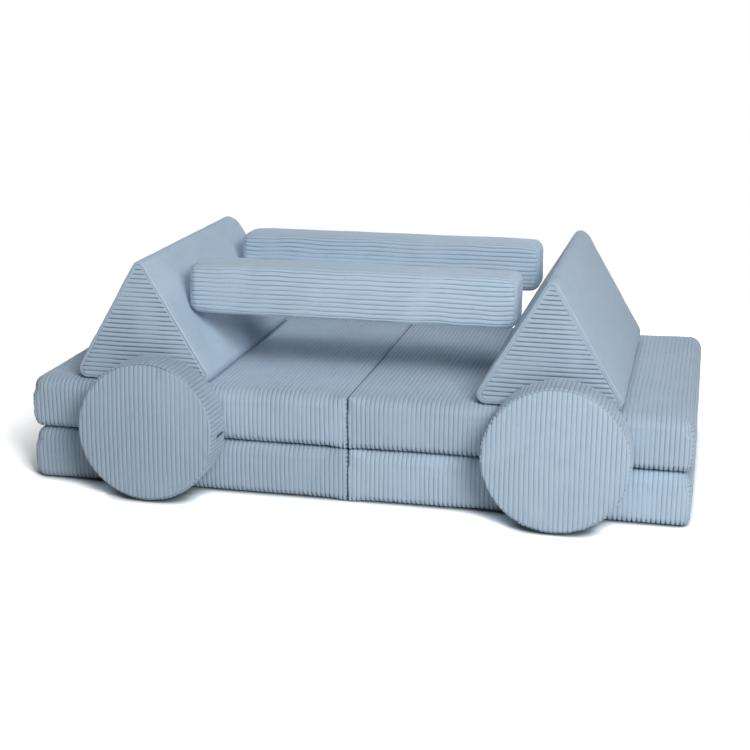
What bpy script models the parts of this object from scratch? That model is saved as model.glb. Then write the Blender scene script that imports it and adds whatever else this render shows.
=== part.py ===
"""Modular foam play sofa, stacked as a toy car.

Ten foam blocks in zipped corduroy covers: two folding mattresses of two
panels each, two triangular wedges, two bars and two round discs. The lower
mattress lies on the floor, the upper one lies on it, the wedges stand on
top, the bars hang between the wedges' inner slopes and the discs lean
against the front like wheels.

X runs along the mattresses, with the folds at zero. Y runs from the front
to the back, with zero in the middle of the footprint. Z is up from the floor.
"""
import math

import bmesh
import bpy
from mathutils import Matrix, Vector

# Cloth, foam and the gaps between pieces that touch
COVER_WALL = 0.003
TOUCH_GAP = 0.0003
CORE_GAP = 0.0005

# Mattresses, both alike
MATTRESS_LENGTH = 1.60
MATTRESS_DEPTH = 0.80
MATTRESS_THICKNESS = 0.13
FOLD_GAP = 0.0034
MATTRESS_TOP_ROUND = 0.022
MATTRESS_SEAM_ROUND = 0.007
MATTRESS_CORNER_ROUND = 0.014
MATTRESS_BULGE = 0.005
MATTRESS_DRAW_IN = 0.003

# Cloth hinge that joins the two panels of a mattress along their undersides
HINGE_STRIP_HEIGHT = 0.009
HINGE_STRIP_INSET = 0.012
HINGE_STRIP_LIFT = 0.0006
FOLD_AXIS_DROP = 0.0005

# Triangular wedges, measured to the corners before they are rounded
WEDGE_BASE = 0.37
WEDGE_HEIGHT = 0.313
WEDGE_LENGTH = 0.71
WEDGE_RIDGE_SETBACK = 0.028
WEDGE_FOOT_SETBACK = 0.020
WEDGE_SEAM_ROUND = 0.008
WEDGE_BULGE = 0.005

# Bars
BAR_LENGTH = 0.806
BAR_DEPTH = 0.111
BAR_HEIGHT = 0.124
BAR_ROUND = 0.014
BAR_BULGE = 0.004
BAR_DRAW_IN = 0.0025

# Discs
DISC_DIAMETER = 0.338
DISC_THICKNESS = 0.10
DISC_ROUND = 0.007
DISC_BULGE = 0.005
DISC_SIDES = 32

# How the blocks are stacked
BAR_SEAT_HEIGHT = 0.154
CAR_MIDDLE_X = -0.0205
LEFT_WEDGE_SETBACK = 0.014
RIGHT_WEDGE_SETBACK = 0.009
FRONT_BAR_SETBACK = 0.103
BACK_BAR_INSET = 0.087
LEFT_DISC_X = -0.465
RIGHT_DISC_X = 0.500
DISC_LEAN = math.radians(2.0)

# Zips: a tape behind the cloth, with its coil standing in a slot of the cover
ZIP_TAPE_WIDTH = 0.024
ZIP_TAPE_THICKNESS = 0.0008
ZIP_COIL_WIDTH = 0.0056
ZIP_COIL_HEIGHT = 0.0019
ZIP_TAPE_GAP = 0.0005
ZIP_SLOT_WIDTH = 0.0112
ZIP_TAPE_OVERLAP = 0.006
MATTRESS_ZIP_MARGIN = 0.100
WEDGE_ZIP_MARGIN = 0.080
WEDGE_ZIP_HEIGHT = 0.045
BAR_ZIP_MARGIN = 0.100
DISC_ZIP_FIRST_SIDE = 15
DISC_ZIP_SIDES = 9

# Zip sliders of the child-safe kind, with a bridge and no pull tab
SLIDER_LENGTH = 0.012
SLIDER_WIDTH = 0.0092
SLIDER_NOSE_WIDTH = 0.0062
SLIDER_SHOULDER = 0.0040
SLIDER_ROOF = 0.0012
SLIDER_CLEARANCE = 0.0003
SLIDER_END_GAP = 0.0010
BRIDGE_LENGTH = 0.0066
BRIDGE_WIDTH = 0.0026
BRIDGE_HEIGHT = 0.0021
BRIDGE_LEG = 0.0012

# Shapes of the swelling, cuts across each block and spare length of cutters
CROWN_POWER = 4
COVER_STEPS = 2
CORE_STEPS = 1
NO_CUTS = (0, 0, 0)
MATTRESS_CUTS = (4, 4, 2)
BAR_CUTS = (4, 2, 2)
WEDGE_LENGTH_CUTS = 4
WEDGE_HEIGHT_SHARES = (0.28, 0.58)
DISC_RING_SHARES = (0.68,)
CUT_OVERRUN = 0.004

# Sides of a block and the way each one faces
SIDES = {
    "left": "-X", "right": "+X",
    "front": "-Y", "back": "+Y",
    "bottom": "-Z", "top": "+Z",
}

# Sizes that follow from the ones above
PANEL_LENGTH = (MATTRESS_LENGTH - FOLD_GAP) / 2
HINGE_STRIP_WIDTH = FOLD_GAP / 2 - TOUCH_GAP
BACK_BAR_SETBACK = LEFT_WEDGE_SETBACK + WEDGE_LENGTH - BACK_BAR_INSET - BAR_DEPTH
UPPER_BASE = MATTRESS_THICKNESS + TOUCH_GAP
SEAT_TOP = UPPER_BASE + MATTRESS_THICKNESS
ZIP_BEHIND = ZIP_TAPE_GAP + ZIP_TAPE_THICKNESS + TOUCH_GAP
ZIP_TAPE_TOP = -COVER_WALL - ZIP_TAPE_GAP
COIL_TOP = ZIP_TAPE_TOP + ZIP_COIL_HEIGHT
SLIDER_FOOT = ZIP_TAPE_TOP + SLIDER_CLEARANCE
SLIDER_TOP = COIL_TOP + SLIDER_CLEARANCE + SLIDER_ROOF
SLIDER_REACH = SLIDER_TOP + BRIDGE_HEIGHT
DISC_FACET = math.tau / DISC_SIDES


def start_scene():
    """Empty the scene and give back the parts' and the cutters' collections."""
    for old in list(bpy.data.objects):
        bpy.data.objects.remove(old, do_unlink=True)
    made = []
    for name in ("foam_play_sofa", "cutters"):
        collection = bpy.data.collections.new(name)
        bpy.context.scene.collection.children.link(collection)
        made.append(collection)
    return made


def make_material(name, colour, roughness, metallic=0.0):
    material = bpy.data.materials.new(name)
    material.use_nodes = True
    shader = material.node_tree.nodes["Principled BSDF"]
    shader.inputs["Base Color"].default_value = (*colour, 1.0)
    shader.inputs["Roughness"].default_value = roughness
    shader.inputs["Metallic"].default_value = metallic
    material.diffuse_color = (*colour, 1.0)
    return material


PARTS, CUTTERS = start_scene()


def own_material(name, kind):
    """Each piece has its own material, of one of four kinds."""
    kinds = {
        "cover": ((0.40, 0.50, 0.60), 0.95),
        "core": ((0.86, 0.84, 0.76), 1.0),
        "tape": ((0.24, 0.31, 0.39), 0.9),
        "slider": ((0.20, 0.26, 0.33), 0.5),
    }
    colour, roughness = kinds[kind]
    return make_material(name + "_" + kind, colour, roughness)


def add_object(name, mesh, kind=None, parent=None, location=(0, 0, 0)):
    """Put a mesh in the scene: a part of a kind, or a cutter if kind is None."""
    obj = bpy.data.objects.new(name, mesh)
    obj.location = location
    obj.parent = parent
    if kind is None:
        CUTTERS.objects.link(obj)
        obj.hide_render = True
        obj.display_type = "WIRE"
    else:
        PARTS.objects.link(obj)
        mesh.materials.clear()
        mesh.materials.append(own_material(name, kind))
    return obj


def add_empty(name, location, rotation=(0, 0, 0), parent=None):
    empty = bpy.data.objects.new(name, None)
    empty.location = location
    empty.rotation_euler = rotation
    empty.parent = parent
    PARTS.objects.link(empty)
    return empty


def finish_mesh(name, bm, sharp=None):
    """Turn a bmesh into a mesh, smooth but for edges past the sharp angle."""
    bmesh.ops.recalc_face_normals(bm, faces=bm.faces)
    mesh = bpy.data.meshes.new(name)
    bm.to_mesh(mesh)
    bm.free()
    if sharp is not None:
        mesh.shade_smooth()
        mesh.set_sharp_from_angle(angle=math.radians(sharp))
    return mesh


def add_bevel(obj, width, segments, by_weight=False):
    bevel = obj.modifiers.new("Rounded edges", "BEVEL")
    bevel.width = width
    bevel.segments = segments
    bevel.limit_method = "WEIGHT" if by_weight else "ANGLE"
    if not by_weight:
        bevel.angle_limit = math.radians(40.0)
    return bevel


def add_shell(obj):
    """Make a closed form hollow, with the cloth's thickness inside it."""
    shell = obj.modifiers.new("Cloth", "SOLIDIFY")
    shell.thickness = COVER_WALL
    shell.offset = -1.0
    shell.use_even_offset = True


def add_boolean(obj, other, operation):
    cut = obj.modifiers.new(operation.title(), "BOOLEAN")
    cut.operation = operation
    cut.solver = "EXACT"
    cut.object = other


def box_mesh(name, size):
    bm = bmesh.new()
    bmesh.ops.create_cube(bm, size=1.0)
    bmesh.ops.scale(bm, vec=size, verts=bm.verts)
    return finish_mesh(name, bm)


def cut_across(bm, axis, places):
    """Cut a bmesh with planes square to an axis at the given places."""
    normal = Vector((0.0, 0.0, 0.0))
    normal[axis] = 1.0
    for place in places:
        geometry = bm.verts[:] + bm.edges[:] + bm.faces[:]
        bmesh.ops.bisect_plane(bm, geom=geometry, dist=TOUCH_GAP / 10,
                               plane_co=normal * place, plane_no=normal)


def facing(side):
    """The axis that a side is square to, as a number, and 1 or -1 along it."""
    way, axis = SIDES[side]
    return "XYZ".index(axis), 1 if way == "+" else -1


def crown(share):
    """Height of a crown at a share of the way from its middle to its edge."""
    return 1.0 - abs(share) ** CROWN_POWER


def bow(share):
    """Depth of a drawn-in side at a share of the way to its corner."""
    return 1.0 - share * share


def swell(point, size, crowns, draw_in):
    """Where a point of a plain block lies once the block is crowned and drawn in.

    A crown stands out from the middle of its side. Between the corners, the
    upper and lower edges pull in along X and along Y, by the two of draw_in.
    """
    share = [2 * point[axis] / size[axis] for axis in range(3)]
    moved = Vector(point)
    for axis in range(3):
        way = 1 if share[axis] > 0 else -1
        first, second = [other for other in range(3) if other != axis]
        shift = 0.0
        for side, height in crowns.items():
            if facing(side) == (axis, way):
                shift += height * crown(share[first]) * crown(share[second])
        if axis != 2:
            shift -= draw_in[axis] * bow(share[1 - axis]) * share[2] ** CROWN_POWER
        moved[axis] += share[axis] * shift
    return moved


def sides_of_edge(edge, size):
    """The sides of the plain block that an edge lies on, two on its own edges."""
    found = []
    for side in SIDES:
        axis, way = facing(side)
        limit = way * size[axis] / 2
        if all(math.isclose(v.co[axis], limit, rel_tol=1e-5) for v in edge.verts):
            found.append(side)
    return found


def even_places(length, count):
    return [length * (i / (count + 1) - 0.5) for i in range(1, count + 1)]


def swollen_block_mesh(name, size, cuts, crowns, draw_in, edge_round):
    """A crowned block, with each edge marked for the round that it gets.

    edge_round gives an edge's round from the two sides that meet there. The
    mesh comes back with the widest of these rounds, for the bevel.
    """
    bm = bmesh.new()
    bmesh.ops.create_cube(bm, size=1.0)
    bmesh.ops.scale(bm, vec=size, verts=bm.verts)
    for axis in range(3):
        cut_across(bm, axis, even_places(size[axis], cuts[axis]))
    weight = bm.edges.layers.float.new("bevel_weight_edge")
    rounds = {}
    for edge in bm.edges:
        sides = sides_of_edge(edge, size)
        if len(sides) == 2:
            rounds[edge] = edge_round(sides)
    widest = max(rounds.values())
    for edge, width in rounds.items():
        edge[weight] = width / widest
    for vert in bm.verts:
        vert.co = swell(vert.co, size, crowns, draw_in)
    return finish_mesh(name, bm, sharp=50), widest


def wedge_mesh(name, base, height, length, setbacks, bulge):
    """A triangular wedge with its base at z = 0 and its ridge along Y.

    setbacks are how far back from the ridge, the feet and the end seams their
    rounds begin. The front end is crowned.
    """
    ridge, foot, seam = setbacks
    bm = bmesh.new()
    bmesh.ops.create_cone(bm, cap_ends=True, segments=3, radius1=1.0, radius2=1.0, depth=1.0)
    flat = sorted(bm.verts, key=lambda v: v.co.y)
    apex_y = flat[-1].co.y
    foot_y = flat[0].co.y
    foot_x = max(v.co.x for v in bm.verts)
    for vert in bm.verts:
        across, up, along = vert.co
        rise = (up - foot_y) / (apex_y - foot_y)
        vert.co = (across / foot_x * base / 2, -along * length, rise * height)
    cut_across(bm, 1, even_places(length, WEDGE_LENGTH_CUTS))
    cut_across(bm, 2, [height * share for share in WEDGE_HEIGHT_SHARES])
    cut_across(bm, 0, [0.0])
    weight = bm.edges.layers.float.new("bevel_weight_edge")
    widest = max(setbacks)
    half = length / 2

    def on_end(v):
        return math.isclose(abs(v.co.y), half, rel_tol=1e-5)

    def on_slope(v):
        edge_x = base / 2 * (1 - v.co.z / height)
        return math.isclose(abs(v.co.x), edge_x, rel_tol=1e-4, abs_tol=1e-6)

    def on_base(v):
        return abs(v.co.z) < 1e-6

    def is_ridge(v):
        return math.isclose(v.co.z, height, rel_tol=1e-5)

    for edge in bm.edges:
        pair = edge.verts
        if all(is_ridge(v) for v in pair):
            edge[weight] = ridge / widest
        elif all(on_base(v) and on_slope(v) for v in pair):
            edge[weight] = foot / widest
        elif all(on_end(v) for v in pair):
            if all(on_base(v) for v in pair) or all(on_slope(v) for v in pair):
                edge[weight] = seam / widest
    for vert in bm.verts:
        if vert.co.y < 0 and on_end(vert):
            top = vert.co.z / height
            left = (1 - top) / 2 + vert.co.x / base
            right = 1 - top - left
            corners = max(0.0, 27 * top * left * right)
            vert.co.y -= bulge * math.sqrt(corners)
    return finish_mesh(name, bm, sharp=50), widest


def disc_mesh(name, diameter, thickness, bulge):
    """A disc with its axis along Y, crowned on its front."""
    bm = bmesh.new()
    radius = diameter / 2
    bmesh.ops.create_cone(bm, cap_ends=True, segments=DISC_SIDES,
                          radius1=radius, radius2=radius, depth=thickness)
    bmesh.ops.rotate(bm, verts=bm.verts, matrix=Matrix.Rotation(math.radians(90), 3, "X"))
    front = [f for f in bm.faces if f.normal.y < -0.9]
    reach = radius
    for share in sorted(DISC_RING_SHARES, reverse=True):
        ring = radius * share
        bmesh.ops.inset_region(bm, faces=front, thickness=reach - ring, use_even_offset=True)
        reach = ring
    for vert in bm.verts:
        if vert.co.y < 0:
            share = math.hypot(vert.co.x, vert.co.z) / radius
            vert.co.y -= bulge * max(0.0, crown(share))
    return finish_mesh(name, bm, sharp=50)


def outline_curve(name, points, depth):
    """A flat outline in XY, filled and extruded to a depth along Z about zero."""
    curve = bpy.data.curves.new(name, "CURVE")
    curve.dimensions = "2D"
    curve.fill_mode = "BOTH"
    curve.extrude = depth / 2
    spline = curve.splines.new("POLY")
    spline.points.add(len(points) - 1)
    for place, (x, y) in zip(spline.points, points):
        place.co = (x, y, 0.0, 1.0)
    spline.use_cyclic_u = True
    return curve


def outline_mesh(name, points, depth):
    """The mesh of an extruded outline, with its caps welded on."""
    guide = bpy.data.objects.new(name, outline_curve(name, points, depth))
    PARTS.objects.link(guide)
    graph = bpy.context.evaluated_depsgraph_get()
    mesh = bpy.data.meshes.new_from_object(guide.evaluated_get(graph))
    bpy.data.objects.remove(guide, do_unlink=True)
    bm = bmesh.new()
    bm.from_mesh(mesh)
    bmesh.ops.remove_doubles(bm, verts=bm.verts, dist=TOUCH_GAP / 10)
    bpy.data.meshes.remove(mesh)
    return finish_mesh(name, bm)


def turned_mesh(name, points, start, sweep, steps):
    """A section of (distance from the axis, Y) turned about Y through an arc.

    Angles are measured from +X towards +Z.
    """
    bm = bmesh.new()
    corners = [bm.verts.new((out * math.cos(start), along, out * math.sin(start)))
               for out, along in points]
    section = bm.faces.new(corners)
    geometry = section.verts[:] + section.edges[:] + [section]
    bmesh.ops.spin(bm, geom=geometry, cent=(0, 0, 0), axis=(0, -1, 0),
                   angle=sweep, steps=steps, use_duplicate=False)
    bmesh.ops.holes_fill(bm, edges=[e for e in bm.edges if e.is_boundary], sides=len(points))
    return finish_mesh(name, bm, sharp=50)


def tape_section():
    """The tape's section: (across, outward), with outward zero at the cloth's face."""
    half = ZIP_TAPE_WIDTH / 2
    foot = ZIP_TAPE_TOP - ZIP_TAPE_THICKNESS
    return [(half, foot), (half, ZIP_TAPE_TOP), (-half, ZIP_TAPE_TOP), (-half, foot)]


def coil_section():
    """The coil's section, as the tape's, sunk into the tape by half of it."""
    half = ZIP_COIL_WIDTH / 2
    chamfer = ZIP_COIL_HEIGHT / 3
    foot = ZIP_TAPE_TOP - ZIP_TAPE_THICKNESS / 2
    right = [(half, foot), (half, COIL_TOP - chamfer), (half - chamfer, COIL_TOP)]
    return right + [(-x, y) for x, y in reversed(right)]


def combined_mesh(name, base, others):
    """The mesh of a base after others, each (mesh, operation, place), act on it."""
    body = bpy.data.objects.new(name, base)
    CUTTERS.objects.link(body)
    helpers = [body]
    for mesh, operation, place in others:
        helper = bpy.data.objects.new(mesh.name, mesh)
        CUTTERS.objects.link(helper)
        helper.matrix_world = place
        helpers.append(helper)
        add_boolean(body, helper, operation)
    graph = bpy.context.evaluated_depsgraph_get()
    mesh = bpy.data.meshes.new_from_object(body.evaluated_get(graph))
    for helper in helpers:
        bpy.data.objects.remove(helper, do_unlink=True)
    return mesh


def slider_mesh(name):
    """A zip slider: X across the zip, Y along it and Z outward from the cloth."""
    half = SLIDER_LENGTH / 2
    wide = SLIDER_WIDTH / 2
    nose = SLIDER_NOSE_WIDTH / 2
    plan = [(nose, -half), (wide, -half + SLIDER_SHOULDER), (wide, half),
            (-wide, half), (-wide, -half + SLIDER_SHOULDER), (-nose, -half)]
    body = outline_mesh(name, plan, SLIDER_TOP - SLIDER_FOOT)
    body.transform(Matrix.Translation((0, 0, (SLIDER_TOP + SLIDER_FOOT) / 2)))

    roof = COIL_TOP + SLIDER_CLEARANCE
    depth = roof - SLIDER_FOOT + CUT_OVERRUN
    channel = box_mesh(name + "_channel", (ZIP_COIL_WIDTH + 2 * SLIDER_CLEARANCE,
                                           SLIDER_LENGTH + 2 * CUT_OVERRUN, depth))
    channel_place = Matrix.Translation((0, 0, roof - depth / 2))

    outer = BRIDGE_LENGTH / 2
    inner = outer - BRIDGE_LEG
    flat_top = inner - BRIDGE_LEG / 2
    sunk = SLIDER_TOP - SLIDER_ROOF / 2
    under = SLIDER_REACH - BRIDGE_LEG
    shoulder = SLIDER_TOP + BRIDGE_HEIGHT / 2
    arch = [(outer, sunk), (outer, shoulder), (flat_top, SLIDER_REACH),
            (-flat_top, SLIDER_REACH), (-outer, shoulder), (-outer, sunk),
            (-inner, sunk), (-inner, under), (inner, under), (inner, sunk)]
    bridge = outline_mesh(name + "_bridge", arch, BRIDGE_WIDTH)
    upright = Matrix.Rotation(math.radians(90), 4, "Z") @ Matrix.Rotation(math.radians(90), 4, "X")
    return combined_mesh(name, body, [(channel, "DIFFERENCE", channel_place),
                                      (bridge, "UNION", upright)])


def aimed(across, outward, along, columns):
    """Euler angles of a frame whose local axes are the named directions."""
    ways = {"across": Vector(across), "outward": Vector(outward), "along": Vector(along)}
    return Matrix([ways[c] for c in columns]).transposed().to_euler()


def add_cover(name, parent, mesh, widest, place=(0, 0, 0)):
    """The cloth of a block, hollow, from its outer form and its widest round."""
    cover = add_object(name + "_cover", mesh, "cover", parent, place)
    add_bevel(cover, widest, COVER_STEPS, by_weight=True)
    add_shell(cover)
    return cover


def add_core(name, parent, mesh, widest, place=(0, 0, 0)):
    core = add_object(name + "_core", mesh, "core", parent, place)
    add_bevel(core, widest, CORE_STEPS, by_weight=True)
    return core


def add_block(name, parent, place, size, cuts, swelling, edge_round):
    """The cover and core of a block with its zip on its back.

    swelling is the crowns of its sides, by name, and how far it is drawn in
    along X and Y.
    """
    crowns, draw_in = swelling
    mesh, widest = swollen_block_mesh(name + "_cover", size, cuts, crowns, draw_in, edge_round)
    cover = add_cover(name, parent, mesh, widest, place)

    shrink = COVER_WALL + CORE_GAP
    end_side = shrink + draw_in[0]
    front_side = shrink + draw_in[1]
    zip_side = max(front_side, COVER_WALL + ZIP_BEHIND + TOUCH_GAP)
    core_size = (size[0] - 2 * end_side, size[1] - front_side - zip_side, size[2] - 2 * shrink)
    core_place = Vector(place) + Vector((0, (front_side - zip_side) / 2, 0))
    mesh, widest = swollen_block_mesh(name + "_core", core_size, NO_CUTS, {}, (0, 0), edge_round)
    add_core(name, parent, mesh, widest, core_place)
    return cover


def straight_zip(name, parent, cover, middle, length, outward, along):
    """A zip on a flat side: its slot in the cover, its tape and coil, its slider.

    middle is the slot's middle on the cloth's outer face. The slider rests at
    the end that the zip's length starts from.
    """
    across = Vector(along).cross(Vector(outward))
    columns = ("across", "along", "outward")
    turn = aimed(across, outward, along, columns)
    middle = Vector(middle)

    depth = COVER_WALL + ZIP_TAPE_GAP / 2 + CUT_OVERRUN
    slot = add_object(name + "_zip_slot", box_mesh(name + "_zip_slot",
                      (ZIP_SLOT_WIDTH, length, depth)), None, parent)
    slot.location = middle + Vector(outward) * (CUT_OVERRUN - depth / 2)
    slot.rotation_euler = turn
    add_boolean(cover, slot, "DIFFERENCE")

    tape = outline_mesh(name + "_zip", tape_section(), length + 2 * ZIP_TAPE_OVERLAP)
    coil = outline_mesh(name + "_coil", coil_section(), length - 2 * TOUCH_GAP)
    whole = combined_mesh(name + "_zip", tape, [(coil, "UNION", Matrix())])
    closure = add_object(name + "_zip", whole, "tape", parent, middle)
    closure.rotation_euler = aimed(-across, outward, along, ("across", "outward", "along"))

    slider = add_object(name + "_zip_slider", slider_mesh(name + "_zip_slider"), "slider", parent)
    rest = length / 2 - SLIDER_END_GAP - SLIDER_LENGTH / 2
    slider.location = middle - Vector(along) * rest
    slider.rotation_euler = turn


def add_panel(name, parent, side, centre):
    """One panel of a mattress. side is -1 left of the fold and 1 right of it."""
    size = (PANEL_LENGTH, MATTRESS_DEPTH, MATTRESS_THICKNESS)

    def edge_round(sides):
        if "bottom" in sides:
            return MATTRESS_SEAM_ROUND
        if "top" in sides and ("front" in sides or "back" in sides):
            return MATTRESS_TOP_ROUND
        return MATTRESS_CORNER_ROUND

    outer_end = "left" if side < 0 else "right"
    crowns = {"front": MATTRESS_BULGE, outer_end: MATTRESS_BULGE}
    swelling = (crowns, (MATTRESS_DRAW_IN, MATTRESS_DRAW_IN))
    cover = add_block(name, parent, centre, size, MATTRESS_CUTS, swelling, edge_round)
    middle = Vector(centre) + Vector((0, MATTRESS_DEPTH / 2, 0))
    length = PANEL_LENGTH - 2 * MATTRESS_ZIP_MARGIN
    straight_zip(name, parent, cover, middle, length, (0, 1, 0), (side, 0, 0))


def add_hinge_strip(name, parent, place):
    """The doubled cloth that stands up between two panels.

    It ends at the fold line, so the panel that folds never meets it.
    """
    length = MATTRESS_DEPTH - 2 * HINGE_STRIP_INSET
    size = (HINGE_STRIP_WIDTH, length, HINGE_STRIP_HEIGHT)
    middle = (-HINGE_STRIP_WIDTH / 2, 0, HINGE_STRIP_LIFT + HINGE_STRIP_HEIGHT / 2)
    add_object(name, box_mesh(name, size), "tape", parent, Vector(place) + Vector(middle))


def add_wedge(name, parent):
    """A wedge whose base's middle is at its parent."""
    setbacks = (WEDGE_RIDGE_SETBACK, WEDGE_FOOT_SETBACK, WEDGE_SEAM_ROUND)
    mesh, widest = wedge_mesh(name, WEDGE_BASE, WEDGE_HEIGHT, WEDGE_LENGTH, setbacks, WEDGE_BULGE)
    cover = add_cover(name, parent, mesh, widest)

    slope = math.atan2(WEDGE_HEIGHT, WEDGE_BASE / 2)
    shrink = COVER_WALL + CORE_GAP
    zip_side = COVER_WALL + ZIP_BEHIND + TOUCH_GAP
    core_base = WEDGE_BASE - 2 * shrink / math.tan(slope / 2)
    core_height = core_base / 2 * math.tan(slope)
    core_length = WEDGE_LENGTH - shrink - zip_side
    mesh, widest = wedge_mesh(name + "_core", core_base, core_height, core_length, setbacks, 0.0)
    add_core(name, parent, mesh, widest, (0, (shrink - zip_side) / 2, shrink))

    half_width = WEDGE_BASE / 2 * (1 - WEDGE_ZIP_HEIGHT / WEDGE_HEIGHT)
    length = 2 * (half_width - WEDGE_ZIP_MARGIN)
    middle = (0, WEDGE_LENGTH / 2, WEDGE_ZIP_HEIGHT)
    straight_zip(name, parent, cover, middle, length, (0, 1, 0), (1, 0, 0))


def add_bar(name, parent):
    """A bar whose middle is at its parent. Its ends are flat, where it seats."""
    size = (BAR_LENGTH, BAR_DEPTH, BAR_HEIGHT)
    swelling = ({"front": BAR_BULGE, "top": BAR_BULGE}, (0, BAR_DRAW_IN))
    cover = add_block(name, parent, (0, 0, 0), size, BAR_CUTS, swelling, lambda sides: BAR_ROUND)
    length = BAR_LENGTH - 2 * BAR_ZIP_MARGIN
    straight_zip(name, parent, cover, (0, BAR_DEPTH / 2, 0), length, (0, 1, 0), (1, 0, 0))


def add_disc(name, parent):
    """A disc with its middle at its parent, its axis along the parent's Y."""
    cover = add_object(name + "_cover", disc_mesh(name, DISC_DIAMETER, DISC_THICKNESS, DISC_BULGE),
                       "cover", parent)
    add_bevel(cover, DISC_ROUND, COVER_STEPS)
    add_shell(cover)

    radius = DISC_DIAMETER / 2
    core_radius = radius - COVER_WALL - ZIP_BEHIND - TOUCH_GAP
    core_thickness = DISC_THICKNESS - 2 * (COVER_WALL + CORE_GAP)
    core = add_object(name + "_core", disc_mesh(name + "_core", 2 * core_radius, core_thickness, 0.0),
                      "core", parent)
    add_bevel(core, DISC_ROUND, CORE_STEPS)

    start = DISC_ZIP_FIRST_SIDE * DISC_FACET
    sweep = DISC_ZIP_SIDES * DISC_FACET
    slot_half = ZIP_SLOT_WIDTH / 2
    slot_foot = radius - COVER_WALL - ZIP_TAPE_GAP / 2
    slot_section = [(slot_foot, -slot_half), (radius + CUT_OVERRUN, -slot_half),
                    (radius + CUT_OVERRUN, slot_half), (slot_foot, slot_half)]
    slot = add_object(name + "_zip_slot", turned_mesh(name + "_zip_slot", slot_section,
                      start, sweep, DISC_ZIP_SIDES), None, parent)
    add_boolean(cover, slot, "DIFFERENCE")

    tape = turned_mesh(name + "_zip", [(radius + y, x) for x, y in tape_section()],
                       start - DISC_FACET, sweep + 2 * DISC_FACET, DISC_ZIP_SIDES + 2)
    short = TOUCH_GAP / radius
    coil = turned_mesh(name + "_coil", [(radius + y, x) for x, y in coil_section()],
                       start + short, sweep - 2 * short, DISC_ZIP_SIDES)
    whole = combined_mesh(name + "_zip", tape, [(coil, "UNION", Matrix())])
    add_object(name + "_zip", whole, "tape", parent)

    slider = add_object(name + "_zip_slider", slider_mesh(name + "_zip_slider"), "slider", parent)
    rest = start + (SLIDER_END_GAP + SLIDER_LENGTH / 2) / radius
    outward = Vector((math.cos(rest), 0, math.sin(rest)))
    along = Vector((-math.sin(rest), 0, math.cos(rest)))
    slider.location = outward * radius
    slider.rotation_euler = aimed(along.cross(outward), outward, along,
                                  ("across", "along", "outward"))


def wedge_spacing():
    """How far apart the ridges stand, so that the bars seat at their height.

    A bar's lower end edges are rounded, in flat steps, and one of the corners
    between these steps lies against each slope.
    """
    rise = WEDGE_HEIGHT
    run = WEDGE_BASE / 2
    slant = math.hypot(rise, run)
    lean = math.atan2(run, rise)
    corners = [math.pi / 2 * step / COVER_STEPS for step in range(COVER_STEPS + 1)]
    reach = BAR_ROUND * max(math.cos(corner - lean) for corner in corners)
    round_middle_x = BAR_LENGTH / 2 - BAR_ROUND
    round_middle_z = BAR_SEAT_HEIGHT + BAR_ROUND
    slope_foot_x = round_middle_x - (run * round_middle_z - slant * (reach + TOUCH_GAP)) / rise
    return 2 * (slope_foot_x + run)


def disc_middle(front_y):
    """Height of a disc's middle and its place in front of the mattresses.

    It stands on its rear lower edge and its back touches the cloth where the
    front of a mattress reaches furthest towards it.
    """
    radius = DISC_DIAMETER / 2
    half = DISC_THICKNESS / 2
    lean_sin, lean_cos = math.sin(DISC_LEAN), math.cos(DISC_LEAN)
    height = (radius - DISC_ROUND) * lean_cos + (half - DISC_ROUND) * lean_sin + DISC_ROUND
    size = Vector((PANEL_LENGTH, MATTRESS_DEPTH, MATTRESS_THICKNESS))
    places = []
    for base in (0.0, UPPER_BASE):
        for row in even_places(MATTRESS_THICKNESS, MATTRESS_CUTS[2]):
            point = Vector((0, -MATTRESS_DEPTH / 2, row))
            reach = -swell(point, size, {"front": MATTRESS_BULGE}, (0, MATTRESS_DRAW_IN)).y
            z = base + MATTRESS_THICKNESS / 2 + row
            if z < height + radius * lean_cos:
                back = half * lean_cos + (z - height + half * lean_sin) * math.tan(DISC_LEAN)
                places.append(front_y - (reach - MATTRESS_DEPTH / 2) - TOUCH_GAP - back)
    return min(places), height


def disc_front_reach():
    """How far a leaning disc's lower front edge stands out from its middle."""
    lean_sin, lean_cos = math.sin(DISC_LEAN), math.cos(DISC_LEAN)
    flat = (DISC_THICKNESS / 2 - DISC_ROUND) * lean_cos + (DISC_DIAMETER / 2 - DISC_ROUND) * lean_sin
    return flat + DISC_ROUND


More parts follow.
